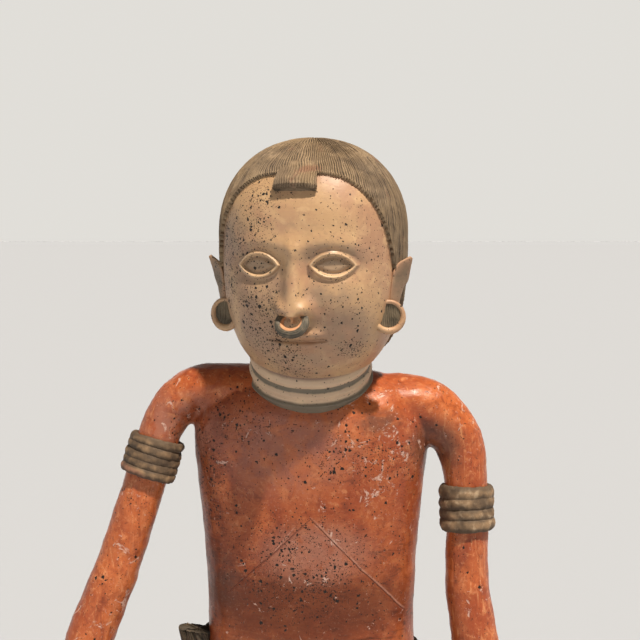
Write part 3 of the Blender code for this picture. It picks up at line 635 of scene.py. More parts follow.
red_slip, place, shader = new_material("burnished_red_slip")
x, y, z = place.parts()
warp = place.noise(22, 3)
cloud = place.noise(11, 4, 0.6, 0.8)
blot = place.noise(29, 6, 0.68, 1.4)
mottle = place.noise(64, 5, 0.62, 0.6)
fleck = place.noise(430, 4, 0.7)
lengthwise = place.stretched(250, 250, 26).noise(1.0, 4, 0.62, 0.8)
crosswise = place.stretched(60, 60, 210).noise(1.0, 4, 0.62, 1.2)
limbs = abs(x).ramp(0.103, 0.116).most(z.ramp(0.16, 0.12))
strokes = crosswise + (lengthwise - crosswise) * (limbs * 0.7 + 0.3)
front = y.ramp(0.010, -0.015)
colour = cloud.ramp(0.36, 0.64).between((0.31, 0.064, 0.021), (0.47, 0.122, 0.036))
colour = colour.mix((0.60, 0.235, 0.095), blot.ramp(0.47, 0.30) * (0.35 + limbs * 0.35))
colour = colour.mix((0.215, 0.042, 0.017), blot.ramp(0.52, 0.68) * 0.70)
colour = colour.mix((0.64, 0.29, 0.13), strokes.ramp(0.55, 0.72) * (0.25 + limbs * 0.38))
colour = colour.mix((0.20, 0.038, 0.015), strokes.ramp(0.46, 0.30) * 0.50)
patchy = place.noise(150, 6, 0.72, 0.6)
colour = colour.mix((0.62, 0.250, 0.105), patchy.ramp(0.53, 0.68) * 0.60)
colour = colour.mix((0.15, 0.031, 0.012), patchy.ramp(0.47, 0.32) * 0.62)
# Painted shade: the torso darkens towards the belt and, higher up, on its right side, mottled by the blots,
# with darker and lighter rubs streaked through it.
deep = z.ramp(0.44, 0.29).most(x.ramp(-0.030, -0.095) * z.ramp(0.50, 0.44))
deep = deep * z.ramp(0.20, 0.26) * (1 - limbs) * (0.45 + blot.ramp(0.35, 0.60) * 0.55)
colour = colour.mix((0.175, 0.032, 0.009), deep * 0.78)
rubs = place.stretched(34, 34, 120).noise(1.0, 6, 0.70, 1.6)
colour = colour.mix((0.055, 0.012, 0.004), rubs.ramp(0.52, 0.66) * deep * 0.85)
colour = colour.mix((0.40, 0.135, 0.045), rubs.ramp(0.46, 0.34) * (deep * 0.42 + (1 - limbs) * 0.16))
brown = place.near((-0.010, -0.045, 0.300), (0.150, 0.08, 0.044))
brown = brown * (cloud * 0.6 + mottle * 0.9).ramp(0.40, 0.70)
colour = colour.mix((0.100, 0.022, 0.006), brown * front * 0.80)
worn = place.near((0.004, -0.045, 0.348), (0.066, 0.07, 0.036)) * (warp + mottle).ramp(0.72, 1.02)
shoulder = place.near((-0.112, 0.0, 0.452), (0.052, 0.06, 0.046)) * mottle.ramp(0.38, 0.58)
worn = worn.most(shoulder)
colour = colour.mix((0.34, 0.150, 0.105), worn * 0.70)
# Painted shadow of the head: a mauve patch over the middle of the chest.
mauve_head_shadow = place.near((-0.022, -0.04, 0.444), (0.085, 0.06, 0.062)) * (0.4 + mottle.ramp(0.35, 0.6) * 0.6)
colour = colour.mix((0.25, 0.098, 0.072), mauve_head_shadow * 0.75)
soot = place.near((0.107, -0.010, 0.436), (0.034, 0.07, 0.034)) * (warp + mottle).ramp(0.66, 0.98)
lumps = (
    ((-0.083, -0.03, 0.322), (0.030, 0.05, 0.040)),
    ((0.060, -0.05, 0.462), (0.030, 0.05, 0.016)),
    ((-0.020, -0.05, 0.250), (0.120, 0.07, 0.030)),
)
soot = soot.most(place.near_any(lumps) * (mottle + warp * 0.4).ramp(0.50, 0.86))
colour = colour.mix((0.090, 0.040, 0.028), soot * 0.72)
scuffed = place.near((0.056, -0.05, 0.440), (0.066, 0.08, 0.085)) * 0.060 + limbs * 0.024
scuffed = scuffed + place.near((0.004, -0.05, 0.345), (0.060, 0.07, 0.045)) * 0.040
chips = (place.noise(74, 8, 0.76, 0.8) + scuffed).ramp(0.620, 0.660)
colour = colour.mix((0.62, 0.42, 0.35), chips * 0.80)
dust = fleck.ramp(0.57, 0.74) * (0.20 + mottle.ramp(0.4, 0.7) * 0.6)
colour = colour.mix((0.64, 0.38, 0.27), dust * 0.62)
hairs = place.stretched(520, 520, 70).noise(1.0, 3, 0.75).ramp(0.68, 0.76)
colour = colour.mix((0.70, 0.50, 0.40), hairs * 0.45)


def drawn_line(x, z, start, end, width):
    """1 on a straight line between two points seen from the front, 0 at width from it."""
    run, rise = end[0] - start[0], end[1] - start[1]
    length = run * run + rise * rise
    along = ((x - start[0]) * run + (z - start[1]) * rise) / length
    along = along.most(0.0).least(1.0)
    off_x, off_z = x - start[0] - along * run, z - start[1] - along * rise
    away = off_x * off_x + off_z * off_z
    return away.math("SQRT", away).ramp(width, width * 0.25)


bend = (warp - 0.5) * 0.007
broken = mottle.ramp(0.30, 0.52)
left_line = drawn_line(x, z + bend, LINES_MEET, LEFT_LINE_END, 0.00085) * (0.45 + broken * 0.55)
right_line = drawn_line(x, z + bend, LINES_MEET, RIGHT_LINE_END, 0.0010) * broken * 0.8
pale_line = drawn_line(x, z + bend - 0.0018, LINES_MEET, LEFT_LINE_END, 0.0014) * broken
scratch = drawn_line(x, z, (-0.030, 0.351), (-0.014, 0.371), 0.0008)
line = left_line.most(right_line) * front
colour = colour.mix((0.50, 0.27, 0.20), pale_line.most(scratch) * front * 0.4)
colour = colour.mix((0.13, 0.030, 0.016), line * 0.72)
lumps = (
    ((-0.006, -0.05, 0.338), (0.085, 0.09, 0.062)),
    ((-0.100, -0.02, 0.410), (0.036, 0.07, 0.080)),
    ((0.086, -0.045, 0.420), (0.044, 0.06, 0.036)),
    ((-0.060, -0.045, 0.470), (0.040, 0.06, 0.030)),
    ((0.040, -0.045, 0.430), (0.050, 0.06, 0.030)),
)
density = cloud.ramp(0.40, 0.75) * 0.10 + 0.035
density = density + place.near_any(lumps) * (0.10 + warp.ramp(0.32, 0.60) * 0.40)
spots = place.manganese(density, ((290, 1.0, 0.33), (540, 1.3, 0.33), (950, 1.5, 0.33)))
colour = colour.mix((0.008, 0.006, 0.005), spots)
rough = 0.30 + mottle.ramp(0.4, 0.7) * 0.14 + worn * 0.14 + chips * 0.22 + dust * 0.15 + spots * 0.15
height = strokes * 0.45 + fleck * 0.10 + mottle * 0.45 - spots * 0.30 - line * 0.9 - chips * 0.15
shader.inputs["Specular IOR Level"].default_value = 0.34
finish_material(place, shader, colour, rough, height, 0.0008)
finish_piece(body, worked_clay, depth=0.0046, grain=36.0, seed=2.0, material=red_slip)


# The arm bands. Thin rolls of clay, laid round each upper arm one above the other and pressed on while
# damp. They have no slip, and the furrows between them are darkened with painted shade.

BAND_PROUD = 0.0060
RIGHT_BAND_LENGTH = 0.034
RIGHT_BAND_COILS = 5
LEFT_BAND_LENGTH = 0.036
LEFT_BAND_COILS = 4
BAND_STATION = 4
COIL_TILT = 0.045
COIL_DENTS = 0.0034

wound_coils, given = node_group(
    "wound_coils",
    Foot="Vector",
    Way="Vector",
    Coils="Int",
    Pitch="Float",
    Radius="Float",
    Thickness="Float",
    Seed="Int",
    Material="Material",
)
way = given["Way"].unit()


def circle(points, radius):
    """A circle of this many points."""
    sockets = {"Resolution": points, "Radius": radius}
    return radius.node("GeometryNodeCurvePrimitiveCircle", {"mode": "RADIUS"}, sockets)


def random_vector(low, high, seed):
    """A vector for each coil, somewhere between two others."""
    sockets = {"Min": low, "Max": high, "Seed": seed}
    return seed.node("FunctionNodeRandomValue", {"data_type": "FLOAT_VECTOR"}, sockets, "Value")


spaced = {"Count": given["Coils"], "Start Location": given["Foot"], "Offset": way.scaled(given["Pitch"])}
stations = way.node("GeometryNodeMeshLine", {"mode": "OFFSET"}, spaced)
rounds = {"Curve": circle(200, given["Radius"]), "Profile Curve": circle(22, given["Thickness"])}
coil = way.node("GeometryNodeCurveToMesh", None, rounds)
uneven = random_vector((-COIL_TILT,) * 3, (COIL_TILT,) * 3, given["Seed"])
tilted = way.vector("ADD", way, uneven)
facing = way.node("FunctionNodeAlignRotationToVector", {"axis": "Z"}, {"Vector": tilted})
sizes = random_vector((0.970, 0.970, 1.42), (1.0, 1.0, 1.62), given["Seed"] + 7)
copies = {"Points": stations, "Instance": coil, "Rotation": facing, "Scale": sizes}
stack = way.node("GeometryNodeInstanceOnPoints", None, copies)
whole = way.node("GeometryNodeRealizeInstances", None, {"Geometry": stack})
spot = way.node("GeometryNodeInputPosition")
lumps = spot.noise(105.0, 3.0, 0.6)
pressed = pushed(whole, (lumps - 0.68).least(0.0) * COIL_DENTS)
reach = spot.vector("SUBTRACT", spot, given["Foot"])
aside = reach.vector("SUBTRACT", reach, reach.vector("PROJECT", reach, way))
proud = (aside.length() - given["Radius"]) / given["Thickness"]
close_group(wound_coils, stored(pressed, "furrow", proud.ramp(0.86, 0.55)), given["Material"])

band_clay, place, shader = new_material("washed_band_clay")
x, _, z = place.parts()
cloud = place.noise(38, 4, 0.6, 0.5)
grain = place.noise(700, 3, 0.7)
worn = place.noise(150, 5, 0.65)
colour = cloud.ramp(0.40, 0.62).between((0.285, 0.180, 0.098), (0.175, 0.108, 0.058))
colour = colour.mix((0.44, 0.32, 0.205), worn.ramp(0.50, 0.68) * x.ramp(-0.10, 0.10) * 0.8)
pink = x.ramp(0.0, -0.05) * (z + cloud * 0.010 + x * 0.56).ramp(0.3392, 0.3342)
colour = colour.mix((0.30, 0.135, 0.085), pink * 0.75)
spots = place.specks(420, cloud.ramp(0.4, 0.7) * 0.12, 0.25)
colour = colour.mix((0.015, 0.011, 0.009), spots * 0.9)
furrow = place.own("furrow")
# Painted shade in the furrows between the coils.
colour = colour.mix((0.040, 0.026, 0.017), furrow * 0.75)
finish_material(place, shader, colour, 0.66 + grain * 0.2, grain * 0.4 + worn * 0.6, 0.0005)

for name, side, length, coils, seed in (
    ("arm_band_right", -1, RIGHT_BAND_LENGTH, RIGHT_BAND_COILS, 3),
    ("arm_band_left", 1, LEFT_BAND_LENGTH, LEFT_BAND_COILS, 8),
):
    path = arm_path(side)
    last = len(path) - 1
    middle = through(path, BAND_STATION / last)
    ahead = through(path, (BAND_STATION + 0.3) / last) - through(path, (BAND_STATION - 0.3) / last)
    ahead.normalize()
    pitch = length / coils
    thickness = pitch * 0.50
    finish_piece(
        placed(name, bpy.data.meshes.new(name)),
        wound_coils,
        foot=middle - ahead * (length - pitch) / 2,
        way=ahead,
        coils=coils,
        pitch=pitch,
        radius=ARM_RADIUS + BAND_PROUD - thickness,
        thickness=thickness,
        seed=seed,
        material=band_clay,
    )


# The belt. A roll of clay laid round the waist and scored on the slant with a splinter, so that it reads as
# a twisted cord, then painted with dark wash. Its tied ends stand up as a blunt sheaf at the right hip.

BELT_RADIUS = 0.0095
BELT_TALL = 1.25
BELT_PROUD = 0.0015
BELT_DIP_FRONT = 0.012
BELT_DIP_LEFT = 0.007
BELT_Z = CROTCH_Z + 0.072
BUNDLE_WIDTH = 0.034
BUNDLE_HEIGHT = 0.041
BUNDLE_CORDS = 5
BUNDLE_ANGLE = math.radians(-84)
BUNDLE_PROUD = 0.006

combed_clay, given = node_group(
    "combed_clay", Strands="Float", Depth="Float", Waver="Float", Seed="Float", Material="Material"
)
skin, seed = given["Geometry"], given["Seed"]
around, along = [
    skin.node("GeometryNodeInputNamedAttribute", {"data_type": "FLOAT"}, {"Name": name}, "Attribute")
    for name in ("around", "along")
]
spot = skin.node("GeometryNodeInputPosition")
bends = spot.noise(30.0, 2.0, 0.5, seed=seed)
crumbs = spot.noise(240.0, 2.0, 0.6, seed=seed + 3.0)
jitter = spot.noise(95.0, 1.0, 0.5, seed=seed + 6.0)
rim = along + (crumbs - 0.5) * 0.22
fewer = 0.25 + 0.25 * rim.math("GREATER_THAN", rim, 0.17) + 0.5 * rim.math("GREATER_THAN", rim, 0.40)
phase = (around * given["Strands"] + (bends - 0.5) * given["Waver"] + (jitter - 0.5) * 1.7) * fewer
share = phase.math("FRACT", phase)
shown = along.ramp(1.15, 0.97)
furrow = (abs(share - 0.5) * 2.0) ** 2.2 * shown * (0.4 + crumbs * 1.2)
strand = phase.math("FLOOR", phase)
random = strand.node("ShaderNodeTexWhiteNoise", {"noise_dimensions": "1D"}, {"W": strand + seed}, "Value")
sink = (furrow * 0.75 + random * 0.40 * shown + crumbs * 0.35) * given["Depth"] * -1.0
combed = stored(stored(pushed(skin, sink), "furrow", furrow), "strand", random)
close_group(combed_clay, combed, given["Material"])


def combed_piece(name, rings, turns, clay, edges=None, make=column_mesh, **scoring):
    """A piece scored with grooves. turns gives each point's place across them, from 0 to 1, and edges how far
    down it lies, for hair whose strands part on the way."""
    edges = edges or [[1.0] * len(rings[0])] * len(rings)
    made = make(name, rings, {"around": turns, "along": edges})
    finish_piece(made, combed_clay, material=clay, **scoring)


dark_wash, place, shader = new_material("dark_washed_clay")
furrow = place.own("furrow")
cloud = place.noise(34, 4, 0.6, 0.5)
grain = place.noise(650, 3, 0.7)
colour = cloud.ramp(0.42, 0.66).between((0.050, 0.036, 0.022), (0.105, 0.078, 0.048))
rubbed = (place.noise(120, 5, 0.65) + (1 - furrow) * 0.12).ramp(0.66, 0.80)
colour = colour.mix((0.22, 0.145, 0.085), rubbed * 0.7)
# Painted shade in the scored grooves.
colour = colour.mix((0.012, 0.009, 0.006), furrow * 0.8)
finish_material(place, shader, colour, 0.60 + grain * 0.2, grain * 0.4 - furrow * 0.6, 0.0005)


def belt_point(angle, out):
    """A point of the belt's line round the waist, out metres proud of the body. It dips in front and to the
    left."""
    half = (HIP_HALF_WIDTH + WAIST_HALF_WIDTH) / 2
    x = (half + out) * math.sin(angle)
    y = TORSO_SETBACK - (TORSO_HALF_DEPTH * 1.03 + out) * math.cos(angle)
    z = BELT_Z - BELT_DIP_FRONT * math.cos(angle) - BELT_DIP_LEFT * math.sin(angle)
    return Vector((x, y, z))


loops, turns = [], []
count, sides = 720, 36
for k, angle in enumerate(full_turn(count)):
    middle = belt_point(angle, BELT_PROUD)
    outward = Vector((math.sin(angle), -math.cos(angle), 0))
    loop = []
    for turn in full_turn(sides):
        rise = Vector((0, 0, 1)) * math.sin(turn) * BELT_RADIUS * BELT_TALL
        loop.append(middle + outward * math.cos(turn) * BELT_RADIUS + rise)
    loops.append(loop)
    turns.append([k / count + 0.012 * math.sin(turn) for turn in full_turn(sides)])
combed_piece(
    "belt", loops, turns, dark_wash, make=loop_mesh, strands=112.0, depth=0.0016, waver=0.8, seed=4.0
)

foot = belt_point(BUNDLE_ANGLE, BUNDLE_PROUD)
half = BUNDLE_WIDTH / 2
rings, turns = [], []
levels = ((-0.56, 0.90, 0), (-0.52, 1.0, 0), (-0.05, 0.94, 0), (0.40, 1.06, 0), (0.44, 0.96, 0))
levels = [Vector(level) for level in levels]
count, rows = 260, 100
for row in range(rows + 1):
    rise, size, _ = through(levels, row / rows)
    ring = []
    for x, y in oval(half * size, half * size * 0.62, half * size * 0.62, 3.0, count):
        cords = abs(math.cos(math.pi * BUNDLE_CORDS * (x / (half * size) + 1) / 2 + math.pi / 2))
        slant = -0.12 * x / BUNDLE_HEIGHT * min(1.0, max(0.0, rise * 5))
        z = BUNDLE_HEIGHT * (rise + slant)
        ring.append(foot + Vector((x - 0.10 * z, y * (0.74 + 0.26 * math.sqrt(cords)), z)))
    rings.append(ring)
    turns.append([k / count + rise * 0.10 for k in range(count)])
top = rings[rows]
centre = sum(top, Vector()) / count
for inset in (0.7, 0.35, 0.08):
    rings.append([centre + (point - centre) * inset for point in top])
    turns.append(turns[rows])
combed_piece("belt_ends", rings, turns, dark_wash, strands=44.0, depth=0.0013, waver=1.0, seed=5.0)


# The loin cloth. Two flat slabs of clay that hang from the belt in front and behind, thicker towards the
# hem, pressed against the body and coated with the same dark wash as the belt.

APRON_WIDTH = 0.074
APRON_LENGTH = 0.096
APRON_THICKNESS = 0.0075
APRON_ROUND = 0.0022
APRON_DROP = 0.004
APRON_SUNK = 0.012

for name, facing in (("front_cloth", -1), ("back_cloth", 1)):
    rings, turns = [], []
    half_angle = math.asin(APRON_WIDTH / 2 / WAIST_HALF_WIDTH)
    rows, across = 110, 90
    for row in range(rows + 1):
        share = row / rows
        z = BELT_Z - APRON_DROP - APRON_LENGTH * share
        out = APRON_THICKNESS * (0.55 + 0.45 * share)
        ring, turn = [], []
        for sign in (1, -1):
            for k in range(across + 1):
                aside = (2 * k / across - 1) * sign
                width = APRON_WIDTH / 2 * (1 - 0.10 * share)
                bow = TORSO_HALF_DEPTH * (1.03 + 0.03 * (facing < 0)) * math.cos(aside * half_angle * 0.80)
                edge = APRON_ROUND * max(0.0, abs(aside) - 0.90) * 10
                edge += APRON_ROUND * max(0.0, share - 0.96) * 25
                depth = bow + out - edge if sign > 0 else bow - APRON_SUNK
                ring.append(Vector((aside * width, TORSO_SETBACK + facing * depth, z)))
                turn.append(0.5 + aside * 0.5)
        rings.append(ring)
        turns.append(turn)
    combed_piece(name, rings, turns, dark_wash, strands=16.0, depth=0.0010, waver=1.2, seed=6.0 + facing)


# The neck. A short leaning cylinder with raised rings, dressed with cream slip. Grey stripes are painted in
# the furrows, and the lowest covers the join with the shoulders.

HEAD_HEIGHT = 0.205
CHIN_Z = SHOULDER_Z + 0.009
NECK_HALF_WIDTH = 0.0515
NECK_HALF_DEPTH = 0.044
NECK_LEAN = math.radians(29)
NECK_LENGTH = 0.036
NECK_FORWARD = 0.019
NECK_RISE = 0.010
NECK_RINGS = (
    (-1.2, 0.90),
    (-0.25, 1.0),
    (0.0, 1.04),
    (0.10, 1.060),
    (0.19, 1.000),
    (0.36, 1.045),
    (0.50, 0.985),
    (0.68, 1.025),
    (0.84, 0.965),
    (1.0, 0.96),
    (1.7, 0.88),
)

foot = Vector((0, TORSO_SETBACK - NECK_FORWARD, SHOULDER_Z + NECK_RISE))
ahead = Vector((0, -math.sin(NECK_LEAN), math.cos(NECK_LEAN)))
across = Vector((1, 0, 0))
deep = ahead.cross(across)
rings, rises = [], []
count, rows = 240, 140
stations = [Vector((share, size, 0)) for share, size in NECK_RINGS]
for row in range(rows + 1):
    share, size, _ = through(stations, row / rows)
    ring = []
    for angle in full_turn(count):
        reach = across * NECK_HALF_WIDTH * math.cos(angle) + deep * NECK_HALF_DEPTH * math.sin(angle)
        ring.append(foot + ahead * NECK_LENGTH * share + reach * size)
    rings.append(ring)
    rises.append([share] * count)
neck = column_mesh("neck", rings, {"rise": rises})


def cream_slip(name):
    """Cream slip, burnished, with pink and grey clouds from the firing and black spots of manganese. Part of
    the grey is painted shade over the lower face, by the eyes and beside the ears.
    """
    material, place, shader = new_material(name)
    warp = place.noise(26, 3)
    cloud = place.noise(19, 4, 0.6, 0.7)
    mottle = place.noise(75, 5, 0.62, 0.4)
    fleck = place.noise(520, 4, 0.7)
    strokes = place.stretched(90, 90, 300).noise(1.0, 4, 0.6, 0.6)
    colour = cloud.ramp(0.38, 0.62).between((0.48, 0.300, 0.160), (0.40, 0.222, 0.130))
    colour = colour.mix((0.60, 0.40, 0.22), mottle.ramp(0.50, 0.70) * 0.55)
    patchy = place.noise(170, 6, 0.72, 0.5)
    colour = colour.mix((0.26, 0.165, 0.105), patchy.ramp(0.48, 0.30) * 0.40)
    colour = colour.mix((0.44, 0.25, 0.15), strokes.ramp(0.52, 0.74) * 0.45)
    # The grey is partly clouds from the firing and partly painted shade: over the lower face, by the eyes, at
    # the temple and beside the ears.
    grey = place.near((-0.045, -0.08, 0.560), (0.046, 0.09, 0.070)) * (cloud + warp * 0.6).ramp(0.55, 0.95)
    lumps = (
        ((0.020, -0.095, 0.603), (0.040, 0.05, 0.017)),
        ((0.030, -0.095, 0.543), (0.040, 0.06, 0.032)),
        ((0.016, -0.095, 0.573), (0.030, 0.05, 0.015)),
        ((-0.012, -0.085, 0.512), (0.040, 0.06, 0.026)),
        ((-0.062, -0.06, 0.610), (0.030, 0.08, 0.050)),
        ((-0.084, -0.02, 0.583), (0.016, 0.03, 0.030)),
        ((0.078, -0.04, 0.580), (0.014, 0.03, 0.026)),
    )
    grey = grey.most(place.near_any(lumps) * (mottle + warp * 0.7).ramp(0.60, 0.98))
    colour = colour.mix((0.270, 0.185, 0.125), grey * 0.62)
    lumps = (
        ((-0.040, -0.09, 0.556), (0.025, 0.07, 0.050)),
        ((-0.046, -0.08, 0.622), (0.026, 0.07, 0.034)),
        ((-0.036, -0.07, 0.652), (0.024, 0.06, 0.020)),
        ((-0.018, -0.09, 0.512), (0.028, 0.06, 0.018)),
        ((-0.024, -0.09, 0.535), (0.026, 0.06, 0.024)),
        ((-0.070, -0.05, 0.600), (0.020, 0.08, 0.060)),
        ((0.036, -0.08, 0.527), (0.020, 0.06, 0.012)),
    )
    light = place.near((0.034, -0.09, 0.590), (0.056, 0.07, 0.075))
    density = 0.06 + place.near_any(lumps) * (0.42 + mottle.ramp(0.38, 0.55) * 0.50) + light * 0.14
    spots = place.manganese(density, ((300, 0.62, 0.37), (520, 0.85, 0.34), (900, 1.2, 0.34)))
    return material, place, shader, colour, spots, mottle, fleck, strokes


neck_slip, place, shader, colour, spots, mottle, fleck, strokes = cream_slip("striped_cream_slip")
colour = colour.mix((0.72, 0.56, 0.40), 0.50)
rise = place.own("rise") + (mottle - 0.5) * 0.05
stripe = rise.ramp(0.190, 0.140).most(rise.ramp(0.43, 0.465) * rise.ramp(0.575, 0.54))
colour = colour.mix((0.115, 0.100, 0.072), stripe * (0.80 + mottle * 0.2))
# Darker and redder at the top of the neck, just under the jaw.
dark_under_jaw = rise.ramp(0.76, 0.84)
colour = colour.mix((0.13, 0.060, 0.042), dark_under_jaw * 0.75)
colour = colour.mix((0.008, 0.006, 0.005), spots * 0.95)
height = strokes * 0.3 + fleck * 0.15 + mottle * 0.4 - spots * 0.3
finish_material(place, shader, colour, 0.42 + mottle * 0.2, height, 0.0005)
finish_piece(neck, worked_clay, depth=0.0016, grain=60.0, seed=9.0, material=neck_slip)


# The head. A hollow egg of clay with the face modelled in low relief: brow, long nose, almond eyes with
# raised rims and a small mouth. The face is a plain one, set out by the usual rule of thirds, under
# burnished cream slip.

HEAD_WIDTH = 0.154
HEAD_DEPTH = 0.152
HEAD_TURN = math.radians(-12)
HEAD_FORWARD = 0.016
SKULL_POWER = 2.25
FACE_MM = HEAD_HEIGHT / 205
EYE_HEIGHT = HEAD_HEIGHT * 0.50
BROW_HEIGHT = HEAD_HEIGHT * 0.585
NOSE_HEIGHT = HEAD_HEIGHT * 0.305
MOUTH_HEIGHT = HEAD_HEIGHT * 0.200
EYE_HALF_WIDTH = 15.4
EYE_HALF_HEIGHT = 7.7
EYE_OUT = 30.8


def smoothstep(low, high, value):
    share = min(1.0, max(0.0, (value - low) / (high - low)))
    return share * share * (3 - 2 * share)


def swell(distance, width):
    return math.exp(-((distance / width) ** 2))


def head_place():
    chin = Matrix.Translation((0.003, TORSO_SETBACK - HEAD_FORWARD - 0.012, CHIN_Z))
    return chin @ Matrix.Rotation(HEAD_TURN, 4, "Z")


def skull_profile(height):
    """Half width, front and back reach of the skull at a height from 0 at the chin to 1 at the crown."""
    widest = 0.62
    above = max(0.0, (height - widest) / (1 - widest))
    below = max(0.0, (widest - height) / widest)
    dome = max(0.0, 1 - above**2.15) ** (1 / 2.15)
    jaw = max(0.0, 1 - below**3.0) ** (1 / 2.5)
    nape = max(0.0, 1 - below**2.0) ** (1 / 2.0)
    half = HEAD_WIDTH / 2 * dome * jaw
    front = HEAD_DEPTH * 0.505 * dome * (jaw * 0.90 + 0.10 * min(1.0, jaw * 2))
    back = HEAD_DEPTH * 0.495 * dome * nape
    return half, front, back


def skull_point(angle, height):
    """A point of the bare skull in the head's frame: chin at the origin, face towards -Y at angle 0."""
    return Vector((*oval_point(angle, *skull_profile(height), SKULL_POWER), height * HEAD_HEIGHT))


def swollen(point, amount):
    """The point moved away from the middle of the skull."""
    return point + (point - Vector((0, 0, HEAD_HEIGHT * 0.55))).normalized() * amount


def almond_distance(x, z):
    """How far a point lies outside the almond outline of an eye centred at the origin."""
    offset = (EYE_HALF_WIDTH**2 - EYE_HALF_HEIGHT**2) / (2 * EYE_HALF_HEIGHT)
    radius = EYE_HALF_HEIGHT + offset
    return max(math.hypot(x, z + offset), math.hypot(x, z - offset)) - radius


def face_relief(side, above_eyes, below_brow, above_nose, above_mouth, above_chin):
    """How far the face stands forward of the skull. All of it is in millimetres at the head's own size."""
    out = 2.6 * swell(below_brow - 0.008 * (side - 28) ** 2, 8) * smoothstep(60, 45, side)
    out -= 4.6 * swell(side - EYE_OUT, 21) * swell(above_eyes, 12.5)
    edge = almond_distance(side - EYE_OUT, above_eyes)
    out += 3.6 * math.exp(-(abs((edge - 1.5) / 1.85) ** 2.6))
    out += 2.4 * smoothstep(0, -5, edge) - 0.9 * swell(edge + 0.9, 0.75)
    if above_eyes > 0:
        out -= 0.55 * swell(edge - 5.4, 0.9) * smoothstep(20, 10, abs(side - EYE_OUT))
    out += 3.5 * swell(side - 40, 20) * swell(above_eyes + 28.7, 18.5)
    out += 4.0 * swell(side, 17) * swell(above_chin - 15.4, 11.3)
    share = below_brow / (below_brow + above_nose)
    if share > -0.25:
        rise = min(1.0, max(0.0, share))
        project = 3.0 * smoothstep(-0.25, 0.1, share) + 15.0 * rise**1.35
        under = smoothstep(-3.2, 0.2, above_nose)
        ridge = math.exp(-((side / (6.6 + 4.6 * rise**2)) ** 2.6))
        wing = 8.2 * swell(side - 11.2, 5.2) * swell(above_nose - 6.2, 6.4)
        out += (project * ridge + wing) * under
        out -= 4.5 * swell(side - 7.4, 2.7) * swell(above_nose + 0.6, 2.0)
        out += 13.0 * math.exp(-((side / 2.6) ** 4)) * smoothstep(-8.5, -6.0, above_nose) * (1 - under)
    lip = above_mouth - 0.00144 * side * side
    out += 3.2 * swell(lip - 4.8, 3.8) * smoothstep(26.5, 16, side)
    out += 3.6 * swell(lip + 5.2, 4.4) * smoothstep(22, 12, side)
    out -= 2.4 * swell(lip, 1.2) * smoothstep(27.5, 22, side)
    out -= 0.7 * swell(side, 2.6) * swell(above_mouth - 12.5, 3.6)
    return out, edge


count = 350
heights = [0.0003 + 0.13 * (k / 26) ** 2 for k in range(26)]
heights += [0.13 + 0.53 * k / 172 for k in range(172)]
heights += [1 - 0.34 * (1 - k / 36.4) ** 2 for k in range(37)]
angles = [angle - 0.62 * math.sin(angle) for angle in full_turn(count)]
chin = head_place()
rings, eyes = [], []
for height in heights:
    ring, eye = [], []
    for angle in angles:
        point = skull_point(angle, height)
        facing = smoothstep(0.10, 0.45, math.cos(angle))
        inside = 0.0
        if facing and 0.02 < height < 0.80:
            out, edge = face_relief(
                abs(point.x) / FACE_MM,
                (point.z - EYE_HEIGHT) / FACE_MM,
                (BROW_HEIGHT - point.z) / FACE_MM,
                (point.z - NOSE_HEIGHT) / FACE_MM,
                (point.z - MOUTH_HEIGHT) / FACE_MM,
                point.z / FACE_MM,
            )
            point.y -= out * FACE_MM * facing
            inside = smoothstep(0.4, -1.2, edge)
            inside += 0.5 * smoothstep(3.8, 2.0, edge) * smoothstep(-0.4, 0.4, edge)
        ring.append(chin @ point)
        eye.append(inside)
    rings.append(ring)
    eyes.append(eye)
head = column_mesh("head", rings, {"eye": eyes})

head_slip, place, shader, colour, spots, mottle, fleck, strokes = cream_slip("burnished_cream_slip")
eye = place.own("eye")
colour = colour.mix((0.64, 0.44, 0.26), (eye.ramp(0.1, 0.45) * eye.ramp(0.75, 0.55)) * 0.6)
colour = colour.mix((0.33, 0.225, 0.140), eye.ramp(0.60, 0.95) * 0.8)
lip_shadow = place.near((0.0, -0.115, 0.557), (0.010, 0.012, 0.006))
colour = colour.mix((0.10, 0.055, 0.035), lip_shadow * 0.5)
colour = colour.mix((0.008, 0.006, 0.005), spots)
scratches = place.stretched(420, 420, 60).noise(1.0, 3, 0.7).ramp(0.66, 0.76)
colour = colour.mix((0.72, 0.55, 0.38), scratches * (1 - spots) * 0.30)
shine = place.near((0.0, -0.09, 0.615), (0.040, 0.05, 0.045))
rough = 0.40 + mottle * 0.16 - shine * 0.10 + spots * 0.2
height = strokes * 0.35 + fleck * 0.12 + mottle * 0.35 - spots * 0.3
finish_material(place, shader, colour, rough, height, 0.0005)
finish_piece(head, worked_clay, depth=0.0012, grain=70.0, seed=10.0, material=head_slip)


# The ears. Thin flaps of clay set on at each side, hollowed in front and drawn out to a point that turns
# away from the head. They have the face's slip, less burnished, with painted shade where they are hollowed.

EAR_LENGTH = 0.037
EAR_THICKNESS = 0.0062
EAR_HEIGHT = HEAD_HEIGHT * 0.428
EAR_ANGLE = math.radians(73)


def ear_foot(side):
    """Where the ear's lobe meets the head."""
    return skull_point(side * EAR_ANGLE, (EAR_HEIGHT - EAR_LENGTH * 0.36) / HEAD_HEIGHT)


ear_slip, place, shader, colour, spots, mottle, _, strokes = cream_slip("dulled_cream_slip")
hollow = place.own("hollow")
# Painted shade in the front of the ear where it is hollowed.
colour = colour.mix((0.135, 0.095, 0.060), hollow * (0.62 + mottle.ramp(0.35, 0.6) * 0.30))
colour = colour.mix((0.008, 0.006, 0.005), spots * 0.9)
finish_material(place, shader, colour, 0.48 + mottle * 0.2, strokes * 0.35 + mottle * 0.35, 0.0005)

